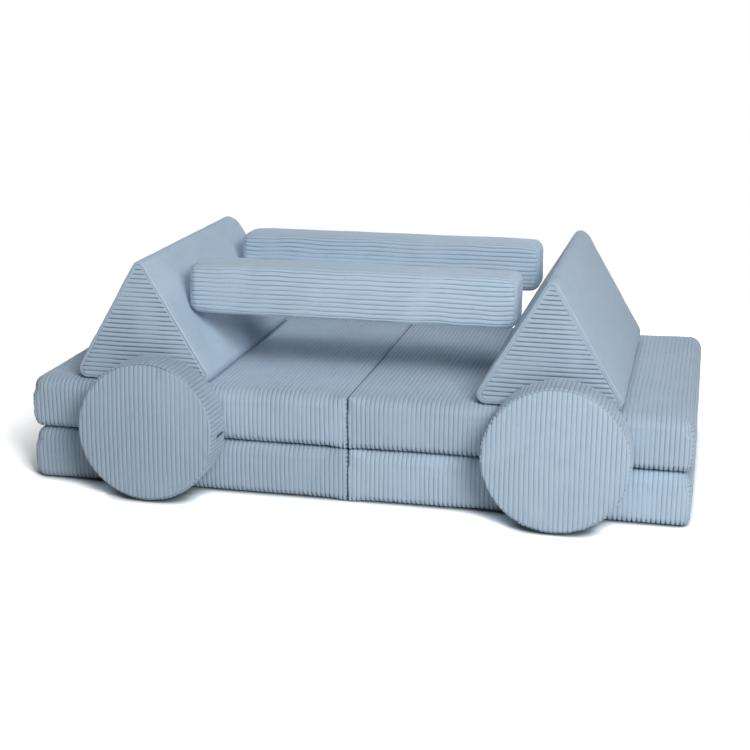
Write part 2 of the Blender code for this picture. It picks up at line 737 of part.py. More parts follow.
def build():
    disc_y_from_front, disc_z = disc_middle(0.0)
    forward = disc_front_reach() - disc_y_from_front
    backward = MATTRESS_DEPTH + SLIDER_REACH
    front_y = (forward - backward) / 2
    middle_y = front_y + MATTRESS_DEPTH / 2
    panel_x = (PANEL_LENGTH + FOLD_GAP) / 2
    half_height = MATTRESS_THICKNESS / 2

    for name, base in (("lower", 0.0), ("upper", UPPER_BASE)):
        fold = Vector((0, middle_y, base - FOLD_AXIS_DROP))
        body = add_empty(name + "_mattress", (0, middle_y, base))
        leaf = add_empty(name + "_fold_axis", fold)
        add_panel(name + "_left", body, -1, (-panel_x, 0, half_height))
        add_panel(name + "_right", leaf, 1, (panel_x, 0, half_height + FOLD_AXIS_DROP))
        add_hinge_strip(name + "_hinge_strip", body, (0, 0, 0))

    spacing = wedge_spacing()
    seat = SEAT_TOP + TOUCH_GAP
    for name, way, setback in (("left", -1, LEFT_WEDGE_SETBACK), ("right", 1, RIGHT_WEDGE_SETBACK)):
        x = CAR_MIDDLE_X + way * spacing / 2
        y = front_y + setback + WEDGE_LENGTH / 2
        add_wedge(name + "_wedge", add_empty(name + "_wedge_place", (x, y, seat)))

    for name, setback in (("front", FRONT_BAR_SETBACK), ("back", BACK_BAR_SETBACK)):
        y = front_y + setback + BAR_DEPTH / 2
        z = seat + BAR_SEAT_HEIGHT + BAR_HEIGHT / 2
        add_bar(name + "_bar", add_empty(name + "_bar_place", (CAR_MIDDLE_X, y, z)))

    for name, x in (("left", LEFT_DISC_X), ("right", RIGHT_DISC_X)):
        place = (x, front_y + disc_y_from_front, disc_z)
        add_disc(name + "_disc", add_empty(name + "_disc_axis", place, (-DISC_LEAN, 0, 0)))


build()
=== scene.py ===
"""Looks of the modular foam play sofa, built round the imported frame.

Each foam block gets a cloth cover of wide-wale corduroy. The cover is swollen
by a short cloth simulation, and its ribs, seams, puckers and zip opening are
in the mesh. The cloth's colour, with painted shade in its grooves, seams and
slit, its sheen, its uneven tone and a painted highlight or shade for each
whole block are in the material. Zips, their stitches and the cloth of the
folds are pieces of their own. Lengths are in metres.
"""

import math  # noqa: E402

import bpy  # noqa: E402
import numpy as np  # noqa: E402
from mathutils import Matrix, Vector  # noqa: E402
from mathutils.bvhtree import BVHTree  # noqa: E402
from mathutils.geometry import barycentric_transform  # noqa: E402


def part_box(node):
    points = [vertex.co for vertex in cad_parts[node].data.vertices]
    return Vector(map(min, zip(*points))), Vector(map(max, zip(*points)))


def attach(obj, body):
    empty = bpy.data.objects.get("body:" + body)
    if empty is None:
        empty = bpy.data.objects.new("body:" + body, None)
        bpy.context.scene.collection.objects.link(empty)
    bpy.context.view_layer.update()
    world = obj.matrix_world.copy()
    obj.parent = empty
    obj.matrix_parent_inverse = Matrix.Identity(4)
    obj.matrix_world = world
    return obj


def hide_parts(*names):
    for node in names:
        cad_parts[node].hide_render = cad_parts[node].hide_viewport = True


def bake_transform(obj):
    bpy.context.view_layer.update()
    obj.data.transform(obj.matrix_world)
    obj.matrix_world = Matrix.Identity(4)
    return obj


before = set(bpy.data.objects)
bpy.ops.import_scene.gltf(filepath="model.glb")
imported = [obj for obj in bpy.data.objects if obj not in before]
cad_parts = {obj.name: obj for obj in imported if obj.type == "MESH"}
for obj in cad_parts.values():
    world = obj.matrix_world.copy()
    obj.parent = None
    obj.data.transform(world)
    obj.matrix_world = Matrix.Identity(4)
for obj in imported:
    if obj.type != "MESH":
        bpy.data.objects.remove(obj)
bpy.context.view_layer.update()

# Blocks: each panel's side of the fold, and how far a wedge's side cloth wraps its ends
PANELS = {"lower_left": -1, "lower_right": 1, "upper_left": -1, "upper_right": 1}
BARS = ("front_bar", "back_bar")
WEDGE_WRAPS = {"left_wedge": 0.0012, "right_wedge": 0.0040}
DISCS = ("left_disc", "right_disc")
BLOCKS = (*PANELS, *BARS, *WEDGE_WRAPS, *DISCS)
FOLDS = ("lower", "upper")

# Where each block's random draws start
SEEDS = {"lower_left": 3, "lower_right": 13, "upper_left": 23, "upper_right": 33,
         "front_bar": 53, "back_bar": 63, "left_wedge": 83, "right_wedge": 93,
         "left_disc": 113, "right_disc": 123}

# Sizes that the covers share with the frame
CROWN = 0.005
MATTRESS_DEPTH = 0.80
FOLD_GAP = 0.0034
WEDGE_BASE = 0.37
WEDGE_HEIGHT = 0.313
DISC_THICKNESS = 0.10
DISC_DIAMETER = 0.338
DISC_LEAN = math.radians(2.0)
DISC_ZIP_FROM = math.radians(168.75)
DISC_ZIP_SWEEP = math.radians(101.25)

# How round the blocks' edges are
PANEL_SEAM_ROUND = 0.020
PANEL_CORNER_ROUND = 0.011
PANEL_TOP_ROUND = 0.032
FOLD_ROUND_SHARE = 0.30
FOLD_ROUND_FROM = 0.88
BAR_ROUND = 0.014
BAR_END_ROUND = 0.025
WEDGE_RIDGE_ROUND = 0.0180
WEDGE_BACK_RIDGE_ROUND = 0.0280
WEDGE_FOOT_ROUND = 0.0210
WEDGE_END_FOOT_ROUND = 0.0230
WEDGE_END_REACH = 0.040
WEDGE_SIDE_POINTS = 22
WEDGE_ROUND_POINTS = 9
EDGE_TURN = 0.008
LEAST_ROUND = 0.002
ROUND_FADE = 1.6
BAR_END_REACH = 0.075
RIM_SEAM_TURN = math.radians(50)
RIM_ARC_POINTS = 6

# How far the sides of the blocks swell, and how far their long edges draw in
BAR_BULGE = 0.0039
FOLD_SWELL = 0.0010
PANEL_DRAW_IN = 0.003
BAR_DRAW_IN = 0.0025

# Corduroy: its ribs, and the places across one rib where the mesh has points
RIB_PITCH = 0.011
RIB_HEIGHT = 0.0022
RIB_FINE = (0.0, 0.09, 0.3, 0.5, 0.7, 0.91)
RIB_COARSE = (0.0, 0.22, 0.5, 0.78)
RIB_FLATNESS = 0.42
RIB_WANDER = 0.0006
RIB_WANDER_WAVE = 0.22
BAR_RIB_WANDER = 0.0013
BAR_WANDER_WAVE = 0.11
# Shares of the ribs' depth on some faces; above 1, as on the wedges' ends, the grooves are also painted
# darker towards near black as painted shade
PANEL_RIB_DEPTH = 0.85
DISC_RIB_DEPTH = 0.8
WEDGE_END_RIB_DEPTH_AND_SHADE = 1.35
BAR_END_RIB_DEPTH = 0.5
RIB_UNEVEN = 0.35
RIB_UNEVEN_WAVE = 0.12
CUT_FADE = 0.0012
TUCKED_FADE = 0.0050

# Painted highlight or shade: how much lighter or darker each block's cloth is painted, for how the lie
# of its fibres catches the light
NAP_SHADE = {"lower_left": -0.05, "lower_right": 0.05, "upper_left": 0.01, "upper_right": -0.04,
       "front_bar": 0.14, "back_bar": 0.19, "left_wedge": 0.10, "right_wedge": -0.05,
       "left_disc": -0.07, "right_disc": 0.0}

# Seams between the pieces of cloth
SEAM_DEPTH = 0.0026
SEAM_WIDTH = 0.0036
SEAM_TUCK = 0.004
SEAM_LAP = 0.001
DISC_LAP = 0.0005
PUCKER_HEIGHT = 0.0011
PUCKER_WAVE = 0.026
PUCKER_REACH = 0.030
CORNER_SEAM_TOP = 0.018
SEAM_SHADE = 0.4
PANEL_SEAM = 0.8
# Painted shade at a panel's foot: its deeper grooves there are also painted darker, down to near black
PANEL_FOOT_RISE = 0.005
PANEL_FOOT_REACH = 0.020
PANEL_FOOT_DEPTH_AND_SHADE = 1.2
BAR_SEAM = 0.6
WEDGE_SEAM = 0.3
DISC_SEAM = 0.6

# Loose cloth over foam, and the waves that make up every random field
SLACK_HEIGHT = 0.0012
SLACK_WAVE = 0.16
RIPPLE_WAVES = 9
RIPPLE_SPREAD = (0.6, 1.6)

# Places of the coarse mesh lines near an edge and their spacing elsewhere, and the shares
# of a width at which the points of the wedges' and discs' ends lie
EDGE_LINES = (0.0, 0.0014, 0.003, 0.005, 0.008, 0.012, 0.017, 0.023, 0.030)
LINE_SPACING = 0.030
BAR_LINE_SPACING = 0.012
RIM_LINES = (0.0, 0.003, 0.006)
WEDGE_EDGE_SHARES = (0.0, 0.02, 0.05, 0.1, 0.2)
WEDGE_MIDDLE_SHARE = 0.7
WEDGE_MIDDLE_LINES = 13
DISC_SHARES = (0.0, 0.01, 0.025, 0.045, 0.07, 0.11, 0.17, 0.26, 0.38, 0.5)
ON_FACE = 1e-6

# Zips: the opening in the cover, and the tape and coil behind it
SLOT_HALF = 0.0056
SLOT_DEPTH = 0.0052
SLOT_WALL = 0.0006
LIP_WIDTH = 0.0045
SLOT_HOLD = 0.024
LIP_HEIGHT = 0.0007
TAPE_OVERLAP = 0.006
TAPE_TOP = -0.0035
TAPE_THICKNESS = 0.0008
TAPE_GAP = 0.0001
COIL_HALF = 0.0028
COIL_HEIGHT = 0.0018
TOOTH_PITCH = 0.0020
TOOTH_SAMPLES = 4
TOOTH_SHARE = 0.65
COIL_POINTS = 9

# Stitches beside the zips, and the rings of points along one
STITCH_LENGTH = 0.0034
STITCH_PITCH = 0.0046
STITCH_RADIUS = 0.00045
STITCH_OFFSET = 0.0026
STITCH_SIDES = 6
STITCH_RINGS = (-0.5, -0.34, 0.0, 0.34, 0.5)
STITCH_GIRTHS = (0.3, 0.9, 1.0, 0.9, 0.3)

# Cloth that joins the two panels of a mattress under the fold. Its lines are even in
# number, so that none lies on the crease
FOLD_CLOTH_HALF = 0.0046
FOLD_CLOTH_ARCH = 0.0003
FOLD_CLOTH_THICKNESS = 0.0008
FOLD_CLOTH_INSET = 0.012
FOLD_CLOTH_TUCK = 0.006
FOLD_CLOTH_SLOPE = 0.6
FOLD_CLOTH_LIFT = 0.0005
FOLD_CLOTH_LINES = 34

# The short slit in the rim of the left disc, painted near black inside as painted shade
SLIT_ANGLE = math.radians(-4.0)
SLIT_DEPTH = 0.009
SLIT_WIDTH = 0.0065
SLIT_FROM = -0.014

# Height of the relief in the materials, which is too fine for the mesh
FIBRE_RELIEF = 0.0006
THREAD_RELIEF = 0.0002
WEAR_RELIEF = 0.0001

# Floor: how bright the camera sees its lit part, how far and how dark a shadow is painted
# on it close to the object, and where it turns plain white
FLOOR_SIZE = 30
FLOOR_DROP = 0.0005
FLOOR_COLOUR = (0.9, 0.9, 0.9, 1)
FLOOR_GAIN = 2.5
FLOOR_PAINTED_SHADOW_REACH = 0.05
FLOOR_PAINTED_SHADOW_COLOUR = (0.30, 0.37, 0.36, 1)
FLOOR_PAINTED_SHADOW_RANGE = (0.25, 0.85)
FLOOR_FADE = (1.3, 2.2)

# Light: each lamp's place, size and power, the point they aim at, and the daylight
LAMPS = {"key": ((2.2, -3.4, 2.6), 1.6, 138), "top": ((0.6, -2.8, 3.2), 1.8, 26),
         "back": ((0.3, 2.6, 2.6), 2.0, 48)}
LAMP_AIM = (0, 0, 0.2)
DAYLIGHT = (0.84, 0.96, 1.0, 1)
DAYLIGHT_STRENGTH = 0.04

# Camera: its place from the middle of the mattress's front edge on the floor, and its turns
CAMERA_SENSOR = 36.0
CAMERA_LENS = 70.92
CAMERA_PLACE = (0.80669, -3.21262, 1.23310)
CAMERA_DOWN = math.radians(15.524)
CAMERA_TURN = math.radians(12.944)

# Cloth simulation: the coarse covers' grid, which of their points lie on an edge, how hard
# and how long the foam presses, how far a point may move, and the share of a crown that
# follows it
PRESS_SPACING = 0.022
PRESS_EDGE = 0.93
PRESS_FORCE = 4.0
PRESS_FRAMES = 20
PRESS_LIMIT = 0.005
PRESS_SHARE = 0.5


def smooth(low, high, value):
    """0 below low, 1 above high and an S curve between them."""
    t = np.clip((value - low) / (high - low), 0.0, 1.0)
    return t * t * (3 - 2 * t)


def ripple(points, wave, seed):
    """A random field of gentle waves of about one length, from about -1 to 1."""
    rng = np.random.default_rng(seed)
    total = np.zeros(len(points))
    for _ in range(RIPPLE_WAVES):
        way = rng.normal(size=3)
        way *= math.tau / wave * rng.uniform(*RIPPLE_SPREAD) / np.linalg.norm(way)
        total += np.sin(points @ way + rng.uniform(0, math.tau))
    return total / math.sqrt(RIPPLE_WAVES)


def rib_lines(length, samples, pitch=RIB_PITCH):
    """Places from 0 to length with a few points across every rib, and the rib count."""
    count = max(1, round(length / pitch))
    places = [(rib + share) * length / count for rib in range(count) for share in samples]
    return np.array([*places, length]), count


def coarse_lines(length, edges=EDGE_LINES, spacing=LINE_SPACING):
    """Places from 0 to length, close together near both ends."""
    reach = edges[-1]
    count = max(1, round((length - 2 * reach) / spacing))
    middle = np.linspace(reach, length - reach, count + 1)[1:-1]
    return np.array([*edges, *middle, *(length - np.array(edges[::-1]))])


def with_slot(lines, middle, half):
    """The lines with sharp pairs of lines added at the two sides of a zip opening."""
    steps = (-SLOT_WALL, 0.0, LIP_WIDTH / 3, LIP_WIDTH)
    extra = [middle + way * (half + step) for way in (-1, 1) for step in steps]
    kept = [p for p in lines if all(abs(p - e) > SLOT_WALL for e in extra)]
    return np.array(sorted([*kept, *extra]))


def box_surface(x, y, z):
    """The surface of a box as a grid of lines: its points and its quads, faces out."""
    shape = (len(x), len(y), len(z))
    outside = np.zeros(shape, bool)
    for axis in range(3):
        ends = [slice(None)] * 3
        for end in (0, -1):
            ends[axis] = end
            outside[tuple(ends)] = True
    ids = np.full(shape, -1)
    ids[outside] = np.arange(outside.sum())
    where = np.argwhere(outside)
    points = np.stack([x[where[:, 0]], y[where[:, 1]], z[where[:, 2]]], axis=1)
    quads = []
    for axis in range(3):
        for end in (0, -1):
            side = ids.take(end, axis=axis)
            corners = [side[:-1, :-1], side[1:, :-1], side[1:, 1:], side[:-1, 1:]]
            if (end == 0) != (axis == 1):
                corners.reverse()
            quads.append(np.stack(corners, axis=-1).reshape(-1, 4))
    return points, np.concatenate(quads)


def grid_quads(rows, columns, closed=False):
    """Quads of a sheet of rows by columns, joined round the columns if closed."""
    ids = np.arange(rows * columns).reshape(rows, columns)
    if closed:
        ids = np.concatenate([ids, ids[:, :1]], axis=1)
    corners = [ids[:-1, :-1], ids[:-1, 1:], ids[1:, 1:], ids[1:, :-1]]
    return np.stack(corners, axis=-1).reshape(-1, 4)


def make_mesh(name, points, quads, pile_shade=None):
    """A smooth mesh object. Its last argument, if given, is each point's height among the ribs, below 0
    in the slit and the deepest grooves, and the material paints shade from it.
    """
    mesh = bpy.data.meshes.new(name)
    mesh.vertices.add(len(points))
    mesh.vertices.foreach_set("co", np.asarray(points, np.float32).ravel())
    mesh.loops.add(len(quads) * 4)
    mesh.loops.foreach_set("vertex_index", np.asarray(quads, np.int32).ravel())
    mesh.polygons.add(len(quads))
    mesh.polygons.foreach_set("loop_start", np.arange(0, len(quads) * 4, 4, dtype=np.int32))
    mesh.update(calc_edges=True)
    mesh.validate()
    mesh.shade_smooth()
    if pile_shade is not None:
        attribute = mesh.attributes.new("pile_shade", "FLOAT", "POINT")
        attribute.data.foreach_set("value", np.asarray(pile_shade, np.float32))
    obj = bpy.data.objects.new(name, mesh)
    bpy.context.scene.collection.objects.link(obj)
    return obj


def join_sheets(name, sheets):
    """One mesh from several sheets of (points, quads, pile)."""
    offset = 0
    points, quads, pile_shade = [], [], []
    for sheet_points, sheet_quads, sheet_pile_shade in sheets:
        points.append(sheet_points)
        quads.append(sheet_quads + offset)
        pile_shade.append(sheet_pile_shade)
        offset += len(sheet_points)
    return make_mesh(name, np.concatenate(points), np.concatenate(quads), np.concatenate(pile_shade))


def rounded_box(spots, half, radius):
    """Where spots on a plain box lie once its edges are rounded, and their normals."""
    inner = half - radius[:, None]
    core = np.clip(spots, -inner, inner)
    out = spots - core
    normals = out / np.linalg.norm(out, axis=1)[:, None]
    return core + normals * radius[:, None], normals


def points_of(mesh):
    """The points of a mesh as an array."""
    points = np.empty(len(mesh.vertices) * 3, np.float32)
    mesh.vertices.foreach_get("co", points)
    return points.reshape(-1, 3)


def coarse_cover(name):
    """A coarse closed cloth of a block's form, held at the block's edges."""
    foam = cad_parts[name + "_core"]
    mesh = foam.data.copy()
    mesh.transform(foam.matrix_world)
    cloth = bpy.data.objects.new(name, mesh)
    bpy.context.scene.collection.objects.link(cloth)
    remesh = cloth.modifiers.new("coarse", "REMESH")
    remesh.mode = "VOXEL"
    remesh.voxel_size = PRESS_SPACING
    graph = bpy.context.evaluated_depsgraph_get()
    cloth.data = bpy.data.meshes.new_from_object(cloth.evaluated_get(graph))
    cloth.modifiers.clear()
    normals = [vertex.normal for vertex in cloth.data.vertices]
    edge = {corner for face in cloth.data.polygons for corner in face.vertices
            if face.normal.dot(normals[corner]) < PRESS_EDGE}
    seams = cloth.vertex_groups.new(name="seams")
    seams.add(sorted(edge), 1.0, "REPLACE")
    settings = cloth.modifiers.new("cloth", "CLOTH").settings
    settings.vertex_group_mass = seams.name
    settings.use_pressure = True
    settings.uniform_pressure_force = PRESS_FORCE
    settings.effector_weights.gravity = 0.0
    return cloth


def press_blocks():
    """Let the foam press all covers out at once, in one short cloth simulation.

    Gives for each block a tree of the triangles of its coarse cover, and each
    triangle's corners before and after, none moved further than PRESS_LIMIT.
    """
    cloths = {name: coarse_cover(name) for name in BLOCKS}
    scene = bpy.context.scene
    for number in range(1, PRESS_FRAMES + 1):
        scene.frame_set(number)
    graph = bpy.context.evaluated_depsgraph_get()
    presses = {}
    for name, cloth in cloths.items():
        before = points_of(cloth.data)
        shift = points_of(cloth.evaluated_get(graph).data) - before
        far = np.maximum(np.linalg.norm(shift, axis=1), ON_FACE)
        after = before + shift * (PRESS_LIMIT * np.tanh(far / PRESS_LIMIT) / far)[:, None]
        cloth.data.calc_loop_triangles()
        triangles = [tuple(triangle.vertices) for triangle in cloth.data.loop_triangles]
        corners = [[*map(Vector, before[[*three]]), *map(Vector, after[[*three]])]
                   for three in triangles]
        presses[name] = BVHTree.FromPolygons(before.tolist(), triangles), corners
    for cloth in cloths.values():
        bpy.data.objects.remove(cloth)
    scene.frame_set(1)
    return presses


def crown(press, points, way, plain):
    """How far the cloth stands out along a way at each point, from 0 to 1.

    plain is the even crown of a cover without a simulation. A share of it
    follows how far the simulated cloth stands out there.
    """
    if press is None:
        return plain
    tree, corners = press
    share = np.zeros(len(points))
    for number in np.flatnonzero(plain):
        spot, _, triangle, _ = tree.find_nearest(points[number])
        moved = barycentric_transform(spot, *corners[triangle])
        share[number] = (moved - spot).dot(way) / PRESS_LIMIT
    return plain * (1 - PRESS_SHARE + PRESS_SHARE * np.clip(share, 0, 1))


def swell(points, centre, half, crowns, draw_in, press):
    """Crown the named sides of a block and pull its upper and lower edges in."""
    share = points / half
    moved = points.copy()
    for (axis, way), height in crowns.items():
        first, second = [other for other in range(3) if other != axis]
        plateau = (1 - share[:, first] ** 4) * (1 - share[:, second] ** 4)
        plain = np.clip(plateau, 0, 1) * smooth(0.0, 1.0, way * share[:, axis])
        out = np.eye(3)[axis] * way
        moved += out * height * crown(press, points + centre, Vector(out), plain)[:, None]
    for axis in (0, 1):
        pull = draw_in[axis] * (1 - share[:, 1 - axis] ** 2) * share[:, 2] ** 4
        moved[:, axis] -= share[:, axis] * np.clip(pull, 0, None)
    return moved


def wandering(points, normals, axes, seed, reach=RIB_WANDER, wave=RIB_WANDER_WAVE):
    """Let ribs wander a little along the given axes, within the surface."""
    moved = points.copy()
    for axis in axes:
        moved[:, axis] += reach * ripple(points, wave, seed + axis) * (1 - normals[:, axis] ** 2)
    return moved


def dressed(points, normals, phase, distance, seed, kept=1.0, fade=CUT_FADE, marks=0.0, seam=1.0):
    """Lay ribs, a seam and some slack on a smooth cover.

    phase counts the ribs across the cloth, distance is the way to the nearest
    seam, kept is the share of a rib's depth that is left, fade is how soon the
    grooves start beyond the seam, marks is added to the cloth's height, and
    seam is how strong the seam is. Gives the new points and each point's height
    among the ribs, 0 in the grooves and lower in the seam, from which the
    material paints shade into the grooves and the seam.
    """
    across = 2 * (phase % 1.0) - 1
    rib = np.clip(1 - across ** 2, 0.0, 1.0) ** RIB_FLATNESS
    uneven = 1 - RIB_UNEVEN * np.clip(ripple(points, RIB_UNEVEN_WAVE, seed + 5), 0.0, 1.0)
    groove = (1 - rib) * kept * smooth(0.0, fade, distance) * uneven
    in_seam = 1 - smooth(0.0, SEAM_WIDTH, distance)
    near = smooth(0.0, SEAM_WIDTH, distance) * (1 - smooth(0.0, PUCKER_REACH, distance))
    pucker = np.minimum(ripple(points, PUCKER_WAVE, seed), 0.0) * near
    slack = np.minimum(ripple(points, SLACK_WAVE, seed + 1) - 1.0, 0.0) / 2
    scallop = SEAM_SHADE + (1 - SEAM_SHADE) * (1 - rib)
    height = (marks - SEAM_DEPTH * seam * in_seam * scallop - RIB_HEIGHT * groove
              + PUCKER_HEIGHT * pucker + SLACK_HEIGHT * slack)
    # Painted shade: darkest in the grooves, and darker in the seam, most of all between the ribs
    pile_shade = (1 - groove) * (1 - seam * in_seam ** 2 * scallop)
    return points + normals * height[:, None], pile_shade


def slot_marks(along, across, length):
    """How far the cloth stands out at a zip opening, and the way to the opening."""
    beside = np.maximum(np.abs(across) - SLOT_HALF, np.abs(along) - length / 2)
    lips = LIP_HEIGHT * (1 - smooth(LIP_WIDTH / 2, LIP_WIDTH, beside))
    return np.where(beside < 0, -SLOT_DEPTH, lips), beside


def zip_middle(node):
    """Middle of a straight zip and its length along X, without the tape's ends."""
    low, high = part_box(node)
    return (low + high) / 2, high.x - low.x - 2 * TAPE_OVERLAP


def finish_cover(cover, name, looks):
    """Give a cover its cloth and its place in the frame."""
    # Painted highlight or shade for the whole block, which the material reads
    nap_shade = cover.data.attributes.new("nap_shade", "FLOAT", "POINT")
    nap_shade.data.foreach_set("value", np.full(len(cover.data.vertices), NAP_SHADE[name], np.float32))
    cover.data.materials.append(looks["corduroy"])
    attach(cover, name)
    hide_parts(name + "_cover", name + "_core")


def box_cover(name, centre, half, lines, ribs, radius_of, swelling, zip_of, seed, wander, seam, press):
    """The cloth of a box-shaped block. Its zip opening is in its back.

    lines are the mesh lines along X, Y and Z from 0. ribs gives, for spots on
    the plain box, the ribs' phase, the share of them that is left and the way
    to the nearest seam. radius_of gives the edges' radius at each spot.
    swelling has the crowns and the draw-in. zip_of is the opening's middle
    along X and Z and its length. wander has the axes, reach and wave, seam is
    how strong the seams are, and press has the cloth simulation.
    """
    spots, quads = box_surface(*lines)
    spots -= half
    points, normals = rounded_box(spots, half, radius_of(spots))
    points = swell(points, np.array(centre), half, *swelling, press)
    phase, kept, distance = ribs(spots)
    on_back = spots[:, 1] > half[1] - ON_FACE
    slot, beside = slot_marks(spots[:, 0] - zip_of[0], spots[:, 2] - zip_of[1], zip_of[2])
    marks = np.where(on_back & (beside < LIP_WIDTH), slot, 0.0)
    kept = kept * np.where(on_back, smooth(0.0, LIP_WIDTH, beside), 1.0)
    wandered = wandering(points, normals, wander[0], seed, *wander[1:])
    free = np.where(on_back, smooth(LIP_WIDTH, SLOT_HOLD, beside), 1.0)
    points = points + (wandered - points) * free[:, None]
    points, pile_shade = dressed(points, normals, phase, distance, seed, kept, CUT_FADE, marks, seam)
    return make_mesh(name + "_cloth", points + np.array(centre), quads, pile_shade)


def make_panel(name, side, seed, looks, press):
    """Cover of one mattress panel. The top's cloth runs down all four sides."""
    low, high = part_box(name + "_cover")
    outer = low.x + CROWN if side < 0 else high.x - CROWN
    inner = (high.x if side < 0 else low.x) - side * FOLD_SWELL
    size = np.array([abs(outer - inner), MATTRESS_DEPTH, high.z - low.z])
    half = size / 2
    centre = Vector(((outer + inner) / 2, high.y - half[1], low.z + half[2]))
    middle, length = zip_middle(name + "_zip")
    zip_of = (middle.x - centre.x, middle.z - centre.z, length)
    x, x_count = rib_lines(size[0], RIB_FINE)
    z, z_count = rib_lines(size[2], RIB_COARSE)
    lines = (with_slot(x, zip_of[0] + half[0], length / 2), coarse_lines(size[1]),
             with_slot(z, zip_of[1] + half[2], SLOT_HALF))

    def radius_of(spots):
        radius = PANEL_CORNER_ROUND
        for reach, way in ((PANEL_TOP_ROUND, 1), (PANEL_SEAM_ROUND, -1)):
            near = 1 - smooth(reach, ROUND_FADE * reach, half[2] - way * spots[:, 2])
            radius = radius + (reach - PANEL_CORNER_ROUND) * near
        toward_fold = smooth(FOLD_ROUND_FROM, 1.0, -side * spots[:, 0] / half[0])
        return radius * (1 - (1 - FOLD_ROUND_SHARE) * toward_fold)

    def ribs(spots):
        on_end = np.abs(spots[:, 0]) > half[0] - ON_FACE
        phase = np.where(on_end, (half[2] - spots[:, 2]) / size[2] * z_count,
                         (spots[:, 0] + half[0]) / size[0] * x_count)
        to_end, to_front = half[0] - np.abs(spots[:, 0]), half[1] - np.abs(spots[:, 1])
        to_bottom = spots[:, 2] + half[2]
        top_start = np.maximum(0.0, spots[:, 2] - (half[2] - CORNER_SEAM_TOP))
        upright = np.sqrt(to_end ** 2 + to_front ** 2 + top_start ** 2)
        to_foot = to_bottom - PANEL_FOOT_RISE
        foot = np.minimum(np.hypot(to_foot, to_front), np.hypot(to_foot, to_end))
        # Painted shade: near the foot the grooves deepen and darken towards near black, the shade under
        # the panel
        near_foot = 1 - smooth(PANEL_FOOT_RISE, PANEL_FOOT_REACH, to_bottom)
        depth = PANEL_RIB_DEPTH + PANEL_FOOT_DEPTH_AND_SHADE * near_foot
        return phase, depth, np.minimum(upright, foot)

    swelling = ({(1, -1): CROWN, (0, side): CROWN}, (PANEL_DRAW_IN, PANEL_DRAW_IN))
    wander = ((0,), RIB_WANDER, RIB_WANDER_WAVE)
    cover = box_cover(name, centre, half, lines, ribs, radius_of, swelling, zip_of, seed, wander,
                      PANEL_SEAM, press)
    finish_cover(cover, name, looks)


def make_bar(name, seed, looks, press):
    """Cover of a bar, with its ribs along it and an upright rib pattern on its ends."""
    low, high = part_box(name + "_cover")
    size = np.array([high.x - low.x, high.y - low.y - BAR_BULGE, high.z - low.z - BAR_BULGE])
    half = size / 2
    centre = Vector(((low.x + high.x) / 2, high.y - half[1], low.z + half[2]))
    middle, length = zip_middle(name + "_zip")
    zip_of = (middle.x - centre.x, middle.z - centre.z, length)
    x = coarse_lines(size[0], spacing=BAR_LINE_SPACING)
    y, y_count = rib_lines(size[1], RIB_FINE)
    z, z_count = rib_lines(size[2], RIB_FINE)
    lines = (with_slot(x, zip_of[0] + half[0], length / 2), y,
             with_slot(z, zip_of[1] + half[2], SLOT_HALF))

    def radius_of(spots):
        near_end = smooth(half[0] - BAR_END_REACH, half[0], np.abs(spots[:, 0]))
        return BAR_ROUND + (BAR_END_ROUND - BAR_ROUND) * near_end

    def ribs(spots):
        on_top = np.abs(spots[:, 2]) > half[2] - ON_FACE
        on_end = np.abs(spots[:, 0]) > half[0] - ON_FACE
        across_y = (spots[:, 1] + half[1]) / size[1] * y_count
        across_z = (spots[:, 2] + half[2]) / size[2] * z_count
        phase = np.where(on_top | on_end, across_y, across_z)
        to_end = half[0] - np.abs(spots[:, 0])
        to_side = np.minimum(half[1] - np.abs(spots[:, 1]), half[2] - np.abs(spots[:, 2]))
        depth = np.where(on_end, BAR_END_RIB_DEPTH, 1.0)
        return phase, depth, np.hypot(to_end, np.maximum(to_side, 0.0))

    swelling = ({(1, -1): BAR_BULGE, (2, 1): BAR_BULGE}, (0.0, BAR_DRAW_IN))
    wander = ((1, 2), BAR_RIB_WANDER, BAR_WANDER_WAVE)
    cover = box_cover(name, centre, half, lines, ribs, radius_of, swelling, zip_of, seed, wander,
                      BAR_SEAM, press)
    finish_cover(cover, name, looks)


def wedge_outline(inset, to_front, to_back):
    """The rounded triangle of a wedge's section, moved in by an inset.

    to_front and to_back are the ways to the wedge's ends, where its corners
    are rounder. Gives its points and its outward normals in (x, z), with x
    zero under the ridge, from the left foot round the ridge.
    """
    at_back = 1 - smooth(0.0, WEDGE_END_REACH, to_back)
    at_end = 1 - smooth(0.0, WEDGE_END_REACH, min(to_front, to_back))
    ridge_round = WEDGE_RIDGE_ROUND + (WEDGE_BACK_RIDGE_ROUND - WEDGE_RIDGE_ROUND) * at_back
    foot_round = WEDGE_FOOT_ROUND + (WEDGE_END_FOOT_ROUND - WEDGE_FOOT_ROUND) * at_end
    slope = math.atan2(WEDGE_HEIGHT, WEDGE_BASE / 2)
    base = WEDGE_BASE - 2 * inset / math.tan(slope / 2)
    top = inset + base / 2 * math.tan(slope)
    corners = (((-base / 2, inset), foot_round, slope, math.pi + slope / 2),
               ((0.0, top), ridge_round, math.pi - 2 * slope, math.pi / 2),
               ((base / 2, inset), foot_round, slope, -slope / 2))
    arcs = []
    for corner, radius, opening, toward in corners:
        radius = max(radius - inset, LEAST_ROUND)
        reach = radius / math.sin(opening / 2)
        middle = np.array(corner) - reach * np.array([math.cos(toward), math.sin(toward)])
        spread = (math.pi - opening) / 2
        angles = np.linspace(toward + spread, toward - spread, WEDGE_ROUND_POINTS)
        ways = np.stack([np.cos(angles), np.sin(angles)], axis=1)
        arcs.append((middle + ways * radius, ways))
    points, normals = [], []
    steps = np.linspace(0, 1, WEDGE_SIDE_POINTS + 2)[1:-1, None]
    for (arc, ways), (following, _) in zip(arcs, arcs[1:] + arcs[:1]):
        points += [arc, arc[-1] + (following[0] - arc[-1]) * steps]
        normals += [ways, np.repeat(ways[-1:], WEDGE_SIDE_POINTS, axis=0)]
    return np.concatenate(points), np.concatenate(normals)


